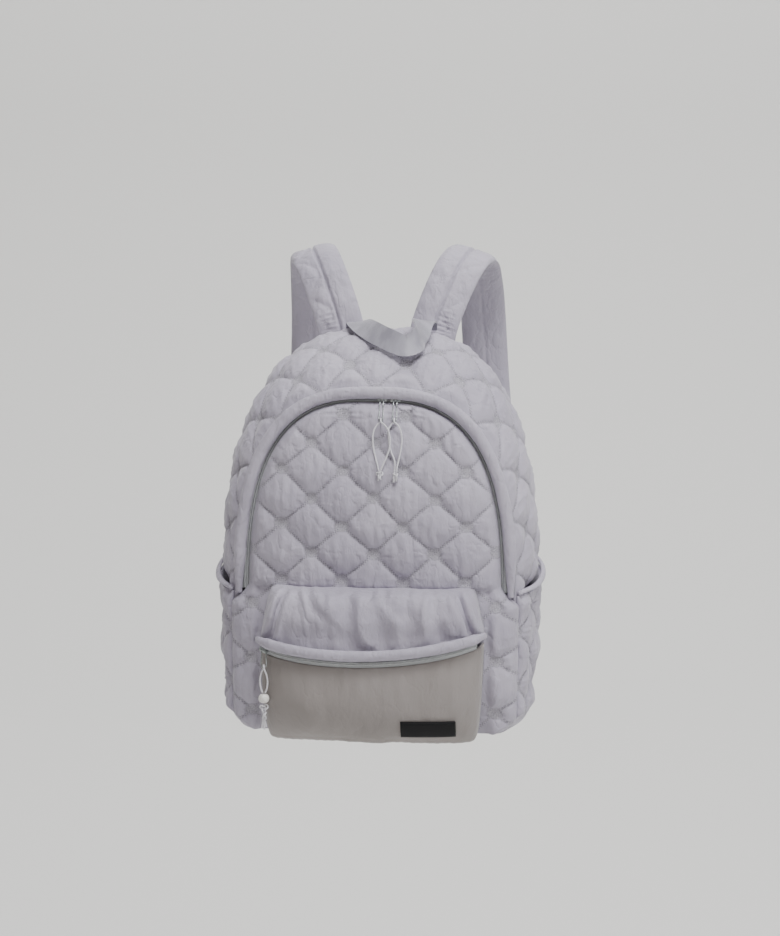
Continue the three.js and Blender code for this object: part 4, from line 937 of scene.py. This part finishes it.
def hood_fold(x, at):
    run = 2 * np.pi * x / FOLD_PITCH
    waves = np.cos(run + 1.1) + 0.6 * np.cos(run / 1.7)
    tuck = np.exp(-(((np.abs(x) - TUCK_X * POCKET_HALF) / TUCK_HALF) ** 2))
    return POCKET_FOLD * np.sin(np.pi * at) * (0.55 * waves - 1.7 * tuck)


def bow(shares):
    """Round form across the pocket, 1 in the middle and 0 at both ends."""
    return np.clip(1 - np.abs(shares) ** POCKET_POWER, 0, 1) ** (1 / POCKET_POWER)


def pocket_seat(x, z):
    """Front of the panel where the pocket lies on it."""
    return dome_y(x, np.maximum(z, 2)) - POCKET_CLEAR


def pocket_grid(profile, low, high, fold, across, at):
    """Grid of a part of the pocket between its lower and upper edges."""
    u, t = np.meshgrid(across, at)
    x = u * POCKET_HALF * follow(profile, 3, t)
    out = (POCKET_DEPTH * follow(profile, 1, t) + fold(x, t)) * bow(u)
    z = lerp(low(x), high(x), follow(profile, 2, t))
    return np.stack([x, pocket_seat(x, z) - np.maximum(out, 0), z], -1), u, t


def even_rim(count):
    """Columns from -1 to 1, closer together at the ends."""
    t = np.linspace(-1, 1, count)
    inward = 1 - np.abs(t)
    return np.sign(t) * (1 - inward ** (1 / 0.55) * 0.55 - inward * 0.45)


def pocket_piece(name, grid, detail, material):
    """Cloth of the pocket on its grid; detail lifts the outer side."""
    normal = grid_normals(grid, (0, -1, 0))
    outer, inner = grid + normal * detail[..., None], grid - normal * POCKET_WALL
    outer[..., 1] = np.minimum(outer[..., 1], pocket_seat(grid[..., 0], grid[..., 2]))
    inner[..., 1] = np.minimum(inner[..., 1], pocket_seat(inner[..., 0], inner[..., 2]))
    run = run_lengths(grid[:, grid.shape[1] // 2])
    uv = np.stack([grid[..., 0], np.repeat(run[:, None], grid.shape[1], axis=1)], -1)
    shell(name, outer, inner, uv, material)


def make_pouch():
    """Lower part of the front pocket, below its zip."""
    grid, u, t = pocket_grid(
        POUCH_PROFILE, lambda x: POCKET_FOOT_Z + 0 * x,
        lambda x: pocket_zip_z(x) - POCKET_TAPE / 2 - GAP, lambda x, s: 0 * x,
        even_rim(190), np.linspace(0, 1, 92))
    x, z = grid[..., 0], grid[..., 2]
    ends = 1 - np.abs(u) ** 8
    fade = np.sin(np.pi * np.clip(t, 0, 1)) ** 0.6 * ends
    gather = np.sin(2 * np.pi * x / 17 + 2.5 * noise(x / 40, t * 2)) * smooth(t, 0.66, 0.95)
    detail = fade * (1.9 * noise(x / 34, t * 3.2) + 0.7 * noise(x / 12, t * 7))
    detail += 0.35 * gather * ends
    near_foot = (1 - smooth(t, 0.12, 0.3)) * smooth(t, 0.02, 0.1)
    detail += 0.5 * np.sin(2 * np.pi * x / 9) * near_foot
    # The cloth lies calmer round the label
    from_label = smooth(np.hypot((x - LABEL_X) / 44, (z - LABEL_Z) / 20), 0.7, 1.2)
    pocket_piece("pocket_pouch", grid, detail * lerp(0.25, 1, from_label), POUCH)


def make_hood():
    """Gathered upper part of the front pocket, above its zip."""
    grid, u, t = pocket_grid(
        HOOD_PROFILE, lambda x: pocket_zip_z(x) + POCKET_TAPE / 2 + GAP,
        lambda x: POCKET_TOP_Z + 0 * x, hood_fold, even_rim(200), np.linspace(0, 1, 74))
    x = grid[..., 0]
    fade = np.sin(np.pi * t) ** 0.7 * (1 - np.abs(u) ** 6)
    gather = np.sin(2 * np.pi * x / 15 + 3.5 * noise(x / 30, t * 2 + 5)) * smooth(t, 0.5, 0.92)
    slant = np.sin(2 * np.pi * (x + 34 * t) / 31 + 3 * noise(x / 28, t * 2.5))
    lumps = 3.2 * noise(x / 24, t * 3.0) + 0.9 * noise(x / 8, t * 6)
    # Deep tucks fold the two upper corners inwards over the roll
    ear = np.abs(x) - (0.93 - 0.2 * t) * POCKET_HALF
    ridge = lambda middle, half: np.exp(-((ear - middle) / half) ** 2)
    crease = 4.5 * ridge(-8, 5.0) - 7.5 * ridge(0, 3.0) + 3.0 * ridge(6, 4.0)
    crease = crease * smooth(t, 0.03, 0.2) * (1 - smooth(t, 0.6, 0.95))
    detail = fade * (lumps + 0.88 * gather + 1.65 * slant) + crease
    pocket_piece("pocket_top", grid, detail, PLAIN)


def pocket_line(out, rise, shares):
    """Line along the pocket's zip, moved out and up, with its up and outward directions."""

    def place(s):
        px = s * POCKET_HALF
        z = pocket_zip_z(px)
        return np.stack([px, pocket_seat(px, z) - POCKET_DEPTH * 0.94 * bow(s), z], -1)

    gap = np.minimum(0.01, 1 - np.abs(shares))
    along = unit(place(shares + gap) - place(shares - gap))
    up = unit(np.array([0.0, 0.0, 1.0]) - along * along[:, 2:3])
    face = np.cross(along, up)
    return place(shares) + face * out + up * rise, up, face


def make_pocket_lines():
    even = np.linspace(-1, 1, 160)
    shares = np.sign(even) * np.abs(even) ** 0.7
    at, up, face = pocket_line(-POCKET_ZIP_SUNK, 0, shares * 0.94)
    w, h = POCKET_TAPE / 2, TAPE_THICK
    section = np.array([[-w, 0], [w, 0], [w, h], [2, h], [1.7, h + 1.3], [0.8, h + 1.8],
                        [0, h + 1.1], [-0.8, h + 1.8], [-1.7, h + 1.3], [-2, h], [-w, h]])
    strip("pocket_zip", at, up, face, section, POCKET_ZIP, 35)
    at, up, face = pocket_line(POCKET_BAND * 0.4 + GAP + 0.9, POCKET_BAND / 2 + 3.5, shares * 0.972)
    taper = lambda t: lerp(0.6, 1, smooth(min(t, 1 - t), 0, 0.06))
    puffed_roll("pocket_band", at, up, face, POCKET_BAND, POCKET_BAND * 0.8, taper)


def make_label():
    """Patch laid on the pouch, with its edges rounded down."""
    rows, columns = 12, 40
    at = np.linspace(0.1, 0.8, 700)
    base, uv = np.zeros((rows, columns, 3)), np.zeros((rows, columns, 2))
    for j, run in enumerate(np.linspace(-0.5, 0.5, columns) * LABEL_WIDTH):
        x = LABEL_X + run
        out = POCKET_DEPTH * follow(POUCH_PROFILE, 1, at)
        out = out * bow(x / (POCKET_HALF * follow(POUCH_PROFILE, 3, at)))
        zip_z = pocket_zip_z(x) - POCKET_TAPE / 2 - GAP
        z = lerp(POCKET_FOOT_Z, zip_z, follow(POUCH_PROFILE, 2, at))
        y = pocket_seat(x + 0 * z, z) - out
        upward = slice(int(np.argmin(z)), None)
        for i, rise in enumerate(np.linspace(-0.5, 0.5, rows) * LABEL_HEIGHT):
            height = LABEL_Z + rise
            base[i, j], uv[i, j] = (x, np.interp(height, z[upward], y[upward]), height), (run, rise)
    normal = grid_normals(base, (0, -1, 0))
    inset = np.minimum(LABEL_WIDTH / 2 - np.abs(uv[..., 0]), LABEL_HEIGHT / 2 - np.abs(uv[..., 1]))
    edge = smooth(inset, 0, 1.2)
    outer = base + normal * (2.2 + LABEL_THICK * (0.5 + 0.5 * edge))[..., None]
    shell("label_patch", outer, base + normal * 0.3, uv, LABEL)


make_pouch()
make_hood()
make_pocket_lines()
make_label()


# Side pockets
def side_grid(heights, depths, lift):
    """Points over the right side of the body, heights[row][column] by depth."""
    rows = []
    for depth, row in zip(depths, heights):
        line, lengths = arch_at(depth)
        middle = len(line) // 2
        shares = np.interp(-row, -line[middle:, 1], lengths[middle:]) / lengths[-1]
        rows.append(body_row(shares, depth))
    base = np.array(rows)
    normal = grid_normals(base, (1, 0, 0))
    return base + normal * lift[..., None], normal


def side_room(z, depth):
    """Room between the body and a side pocket's wall."""
    share = np.clip((depth - SIDE_BACK) / (SIDE_FRONT - SIDE_BACK), 0, 1)
    open_up = smooth(z, SIDE_FOOT_Z, SIDE_FOOT_Z + 60)
    return GAP + 1 + SIDE_ROOM * np.sin(np.pi * share) ** 0.6 * open_up


def make_side_pockets():
    depths = np.linspace(SIDE_BACK, 1.0, 62)
    rise = np.linspace(-0.1, 1, 90)
    z = np.array([lerp(SIDE_FOOT_Z, mouth_z(d), rise) for d in depths])
    d = np.repeat(depths[:, None], len(rise), axis=1)
    flush = 1 - smooth(d, 0.9, 1.0)
    room = side_room(z, d) * lerp(0.5, 1, flush) * smooth(z, 8, 40)
    wall = SIDE_WALL * lerp(0.7, 1, flush) * lerp(0.3, 1, smooth(z, 12, 34))
    from_seams = np.minimum((d - SIDE_BACK) * 1.5, (1 - d) * 1.5 + 0.05)
    edge = np.minimum(np.minimum(rise + 0.1, 1 - rise)[None], from_seams)
    seam = BODY_HALF * PITCH / FRONT_PITCH_X
    around, down = warp(seam + (1 - d) * BODY_DEPTH, front_v(z))
    uv = np.stack([around, down], -1)
    puff = quilt(around, down) * smooth(edge, 0, 0.08)
    right_outer, _ = side_grid(z, depths, room + wall + puff)
    right_inner, _ = side_grid(z, depths, room - (1 - flush))
    mouth = mouth_z(depths)
    top = mouth[:, None] + 3.1 + np.array([-2.0, 0.0, 2.0])
    lift = side_room(mouth, depths) + SIDE_WALL / 2 + 0.9
    right_at, right_normal = side_grid(top, depths, np.repeat(lift[:, None], 3, axis=1))
    face = np.tile([0.0, 0.0, 1.0], (len(depths), 1))
    for name, side in SIDES:
        mirror = np.array([side, 1, 1])
        pocket = shell(f"side_pocket_{name}", right_outer * mirror, right_inner * mirror, uv,
                       QUILTED)
        strip(f"side_pocket_edge_{name}", right_at[:, 1] * mirror, right_normal[:, 1] * mirror,
              face, ellipse(6.3, 4.8, 14), PLAIN)


make_side_pockets()

# Straps, webbing and handle
STRAP_ROUTE = np.array([
    [0.294, 0.041, 0.920], [0.303, 0.046, 0.982], [0.377, 0.103, 1.072], [0.469, 0.222, 1.150],
    [0.531, 0.400, 1.177], [0.560, 0.595, 1.160], [0.577, 0.789, 1.090], [0.589, 0.930, 0.985],
    [0.606, 1.000, 0.860], [0.634, 0.995, 0.733], [0.672, 0.930, 0.620]])
STRAP_LEAN = np.array([
    [1, 0, 0], [1, 0, -0.2], [1, 0, -0.3], [1, 0.1, -0.1], [1, 0.3, 0.1]], dtype=float)
WEBBING_ROUTE = np.array([
    [0.678, 0.8838, 0.602], [0.701, 0.8270, 0.531], [0.747, 0.7135, 0.426], [0.787, 0.4865, 0.320],
    [0.810, 0.2486, 0.231], [0.810, 0.0865, 0.183], [0.805, 0.0346, 0.151], [0.799, 0.0303, 0.114]])
WORN = np.array([BODY_HALF, STRAP_REACH, BODY_HEIGHT])


def strap_section(t, length, side):
    """Padded section with a sewn seam down its middle; the outer lane is quilted."""
    end = min(t * 30, (1 - t) * 24)
    thick = STRAP_THICK / 2 * float(lerp(0.35, 1, smooth(end, 0, 2.2)))
    half = STRAP_WIDTH / 2
    p = -np.cos(np.linspace(0, np.pi, 57))
    run = t * length
    lobe = np.clip(1 - np.abs(p) ** 3.4, 0, 1) ** 0.55
    seam = 1 - 0.7 * np.exp(-(p / 0.055) ** 2)
    first = np.abs(np.sin(np.pi * (p * half + run) / STRAP_PITCH))
    second = np.abs(np.sin(np.pi * (p * half - run) / STRAP_PITCH))
    sewn = 1 - 0.5 * smooth(p * side, 0.05, 0.2) * (1 - (first * second) ** 0.3)
    pucker = 1.5 * np.sin(2 * np.pi * run / 5.6 + 2 * p) * smooth(p * side, -0.05, 0.15)
    pucker = pucker * (1 - smooth(p * side, 0.6, 0.95))
    pucker = pucker * (1 - smooth(run, 44, 66)) * smooth(run, 4, 14)
    soft = 0.9 * noise(run / 15 + 0 * p, p * 2.5) + 0.5 * noise(run / 5 + 0 * p, p * 5)
    over = thick * lobe * seam * sewn + lobe * (soft + pucker) * 0.8
    under = -thick * lobe * (1 - 0.15 * np.exp(-(p / 0.07) ** 2))
    return np.concatenate([np.stack([p * half, under], -1),
                           np.stack([p[-2:0:-1] * half, over[-2:0:-1]], -1)])


def choose_faces(piece, wanted):
    """Edit mode with only some faces selected; wanted takes a face's middle in mm and normal."""
    bpy.ops.object.mode_set(mode="EDIT")
    bpy.ops.mesh.select_mode(type="FACE")
    bpy.ops.mesh.select_all(action="DESELECT")
    bpy.ops.object.mode_set(mode="OBJECT")
    for polygon in piece.data.polygons:
        polygon.select = bool(wanted(polygon.center * 1000, polygon.normal))
    bpy.ops.object.mode_set(mode="EDIT")


def round_edges(piece, width, smooth_angle):
    """Leaves edit mode, then bevels and smooths the piece."""
    bpy.ops.mesh.select_all(action="SELECT")
    bpy.ops.mesh.normals_make_consistent(inside=False)
    bpy.ops.object.mode_set(mode="OBJECT")
    bevel = piece.modifiers.new("bevel", "BEVEL")
    bevel.width, bevel.segments, bevel.limit_method = width, 3, "ANGLE"
    bpy.ops.object.modifier_apply(modifier="bevel")
    bpy.ops.object.shade_smooth_by_angle(angle=math.radians(smooth_angle))


def make_adjuster(name, at, side, face, along):
    """Ladder lock: plate with two slots, made from a grid."""
    width, height, thick, frame_bar = 33.0, 20.0, 3.4, 3.5
    w, h = width / 2, height / 2
    upper_slot, lower_slot = (-h + 3, -h + 8.5), (1.5, 7)
    xs = [-w, -w + frame_bar, w - frame_bar, w]
    ys = [-h, *upper_slot, *lower_slot, h]
    bpy.ops.object.select_all(action="DESELECT")
    bpy.ops.mesh.primitive_grid_add(x_subdivisions=len(xs) - 1, y_subdivisions=len(ys) - 1, size=1)
    plate = bpy.context.object
    for vertex in plate.data.vertices:
        i = round((vertex.co.x + 0.5) * (len(xs) - 1))
        j = round((vertex.co.y + 0.5) * (len(ys) - 1))
        vertex.co = (xs[i] / 1000, ys[j] / 1000, -thick / 2000)
    choose_faces(plate, lambda c, _: abs(c.x) < w - frame_bar and any(
        low < c.y < high for low, high in (upper_slot, lower_slot)))
    bpy.ops.mesh.delete(type="FACE")
    bpy.ops.mesh.select_all(action="SELECT")
    bpy.ops.mesh.extrude_region_move(TRANSFORM_OT_translate={"value": (0, 0, thick / 1000)})
    round_edges(plate, 0.0008, 40)
    up = -along
    axes = np.stack([side, up, np.cross(side, up)], axis=1)
    centre = world(at - up * (height / 2 + GAP))
    plate.data.transform(Matrix.Translation(centre.tolist()) @ Matrix(axes.tolist()).to_4x4())
    finish_piece(plate, f"strap_adjuster_{name}", BUCKLE)


def make_anchor(name, side):
    """Tab sewn flat on the back panel that takes the webbing's lower end."""
    corner = WEBBING_ROUTE[-1] * WORN * [side, 1, 1]
    half, top = 21.0, WEB_WIDTH / 2 + 2
    up, across = np.linspace(0, 1, 16)[:, None], np.linspace(0, 1, 24)[None]
    x = corner[0] + lerp(lerp(-half, -top, up), lerp(half - 4, top, up), across)
    z = corner[2] + lerp(-half, half, up) + 0 * x
    rim = 12 * np.minimum(np.minimum(across, 1 - across), np.minimum(up, 1 - up))
    outer = np.stack([x, GAP + 1.6 + 2.4 * smooth(rim, 0, 1), z], -1)
    inner = np.stack([x, np.full_like(x, GAP), z], -1)
    shell(f"strap_anchor_{name}", outer, inner, outer[..., [0, 2]], PLAIN)


def make_straps():
    outline = [[-0.5, -0.5], [-0.25, -0.5], [0, -0.5], [0.25, -0.5], [0.5, -0.5],
               [0.5, 0.5], [0.25, 0.5], [0, 0.5], [-0.25, 0.5], [-0.5, 0.5]]
    flat = np.array(outline) * [WEB_WIDTH, WEB_THICK]
    for name, side in SIDES:
        worn = WORN * [side, 1, 1]
        at, lean, face, along = curve_frames(STRAP_ROUTE * worn, STRAP_LEAN * [1, side, side], 240)
        length = float(run_lengths(at)[-1])
        strap = strip(f"strap_{name}", at, lean, face, lambda t: strap_section(t, length, side),
                      PLAIN)
        make_adjuster(name, at[-1], lean[-1], face[-1], along[-1])
        at, lean, face, _ = curve_frames(WEBBING_ROUTE * worn, [[1, 0, 0], [1, 0, 0]], 90)
        strip(f"strap_webbing_{name}", at, lean, face, flat, WEBBING, 40)
        make_anchor(name, side)


HANDLE_ROUTE = np.array([
    [-0.370, -0.045, 0.075], [-0.359, -0.143, 0.450], [-0.293, -0.375, 0.500],
    [-0.130, -0.679, 0.300], [0.120, -0.900, -0.100], [0.340, -0.985, -0.400],
    [0.462, -0.930, -0.150], [0.500, -0.768, 0.300], [0.489, -0.500, 0.650],
    [0.500, -0.232, 0.650], [0.511, -0.089, 0.350], [0.500, -0.045, 0.075]])
HANDLE_LEAN = np.array([
    [1, 0, 0], [1, 0, 0.1], [0.9, 0, 0.4], [0.6, 0.2, 0.75], [0.2, 0.4, 0.85], [0, 0.45, 0.85],
    [-0.2, 0.4, 0.85], [-0.75, 0.2, 0.5], [-1, 0, 0.1], [-1, 0, 0], [-1, 0, 0]], dtype=float)
HANDLE_SIZE = np.array([92.0, 112.0, 20.0])


def make_handle():
    crown = np.array([0, 0, BODY_HEIGHT * BODY_SECTIONS[0][2]])
    at, lean, face, _ = curve_frames(HANDLE_ROUTE * HANDLE_SIZE + crown, HANDLE_LEAN, 120)
    p = np.linspace(-0.5, 0.5, 13)
    curl = 0.25 * np.cos(np.pi * p)
    flat = np.concatenate([np.stack([p * WEB_WIDTH, -WEB_THICK / 2 + curl], -1),
                           np.stack([p[::-1] * WEB_WIDTH, WEB_THICK / 2 + curl], -1)])
    strip("haul_handle", at, lean, face, flat, WEBBING, 40)


make_straps()
make_handle()


# Sliders and wires
def make_slider(name, centre, axes):
    """Slider body: bevelled wedge with a raised bridge, from a cube."""
    length, height, thick = 11.0, 6.6, 3.4
    bpy.ops.object.select_all(action="DESELECT")
    bpy.ops.mesh.primitive_cube_add(size=1)
    body = bpy.context.object
    for vertex in body.data.vertices:
        x, y, z = vertex.co
        wide = 0.72 if x < 0 else 0.82
        vertex.co = (x * length / 1000, (y - 0.5) * thick / 1000, z * height * wide / 1000)
    bpy.ops.object.mode_set(mode="EDIT")
    bpy.ops.mesh.select_all(action="SELECT")
    bpy.ops.mesh.subdivide(number_cuts=2)
    bpy.ops.object.mode_set(mode="OBJECT")
    choose_faces(body, lambda c, normal: normal.y < -0.9 and abs(c.z) < 1.0)
    bpy.ops.mesh.inset(thickness=0.0004)
    bpy.ops.mesh.extrude_region_move(TRANSFORM_OT_translate={"value": (0, -0.0009, 0)})
    round_edges(body, 0.0006, 45)
    turned = Matrix(np.stack(axes, 1).tolist()).to_4x4()
    body.data.transform(Matrix.Translation(world(centre).tolist()) @ turned)
    finish_piece(body, name, NICKEL)


def pull_wire(name, route, eye, width):
    """Bent wire that hangs from a slider's eye; the route gives each leg's out and drop."""
    half = (width - WIRE) / 2
    place = lambda out, drop, s: np.asarray(eye) + [s * half, -out, -drop]
    leg = [place(*point, -1) for point in route]
    back = [place(*point, 1) for point in route[::-1]]
    foot = place(*route[-1], 0) + [0, -0.4, -half * 0.9]
    at, side, face = tube_frames(np.array([*leg, foot, *back]), 90)
    strip(name, at, side, face, ellipse(WIRE, WIRE, 12), NICKEL)


MAIN_WIRE_ROUTE = [(4.5, 0.2), (8.9, 3.4), (13.1, 11.2), (18.7, 21.6)]
POCKET_WIRE_ROUTE = [(6.2, -0.2), (8.5, 6.4), (8.1, 16.4)]
POCKET_SLIDER_SHARE, POCKET_PULL_WIDTH = -0.9332, 6.6
arch_length = arch_at(1.0)[1][-1]
for pull_name, pull_side in SIDES:
    pull_x = SLIDERS_X + pull_side * SLIDER_SPACING / 2
    pull_z = front_line(COIL_INSET, np.array([0.5 + pull_x / arch_length]))[0][0, 2]
    eye_at = [pull_x, COIL_FRONT, pull_z]
    axes = np.array([[-pull_side, 0, 0], [0, 1, 0], [0, 0, 1]], dtype=float)
    make_slider(f"slider_{pull_name}", eye_at, axes)
    pull_wire(f"pull_wire_{pull_name}", MAIN_WIRE_ROUTE, eye_at, PULL_WIDTH)
coil_top = TAPE_THICK + POCKET_COIL - POCKET_ZIP_SUNK + GAP
slider_at, slider_up, slider_face = pocket_line(coil_top, 0, np.array([POCKET_SLIDER_SHARE]))
slider_along = np.cross(slider_up[0], slider_face[0])
make_slider("pocket_slider", slider_at[0], [slider_along, -slider_face[0], slider_up[0]])
pull_wire("pocket_pull_wire", POCKET_WIRE_ROUTE, slider_at[0], POCKET_PULL_WIDTH)

# Floor and light
FLOOR_Z, FLOOR_REACH, WALL_Y, WALL_TOP, BEND = -0.95, 9.0, 4.6, 4.5, 1.3
profile = [(-FLOOR_REACH, FLOOR_Z), (WALL_Y - BEND - 0.05, FLOOR_Z)]
for angle in np.linspace(0.05, np.pi / 2, 24):
    out, up = 1 - math.sin(angle), 1 - math.cos(angle)
    profile.append((WALL_Y - BEND * out, FLOOR_Z + BEND * up))
profile.append((WALL_Y, WALL_TOP))
cove = [(x, y, z) for y, z in profile for x in (-FLOOR_REACH, FLOOR_REACH)]
mesh = bpy.data.meshes.new("studio_cove")
mesh.from_pydata(cove, [], [(k, k + 1, k + 3, k + 2) for k in range(0, len(cove) - 2, 2)])
mesh.polygons.foreach_set("use_smooth", [True] * len(mesh.polygons))
backdrop = bpy.data.objects.new("studio_cove", mesh)
scene.collection.objects.link(backdrop)
paper = Graph("studio_paper")
mesh.materials.append(paper.finish(linear("#EAEAE8"), 0.9))


def area_light(name, location, target, size, power, colour="#FFFFFF"):
    data = bpy.data.lights.new(name, "AREA")
    data.shape, data.size, data.size_y = "RECTANGLE", size[0], size[1]
    data.energy, data.color = power, linear(colour)[:3]
    lamp = bpy.data.objects.new(name, data)
    scene.collection.objects.link(lamp)
    lamp.location = location
    lamp.rotation_euler = (Vector(target) - Vector(location)).to_track_quat("-Z", "Y").to_euler()


area_light("key", (0.7, -1.5, 3.1), (0, -0.1, 0), (1.8, 1.2), 134)
area_light("side", (3.0, -1.4, 1.2), (0, -0.1, 0), (1.4, 1.8), 36)
area_light("front", (-1.2, -3.6, 0.6), (0, -0.1, 0), (2.4, 1.8), 9, "#FFF4EA")
area_light("wall", (0, 2.0, 4.4), (0, 4.6, 0.3), (5.0, 1.2), 230)
if scene.world is None:
    scene.world = bpy.data.worlds.new("world")
scene.world.use_nodes = True
scene.world.node_tree.nodes["Background"].inputs[0].default_value = linear("#ECE8E6")
scene.world.node_tree.nodes["Background"].inputs[1].default_value = 0.27
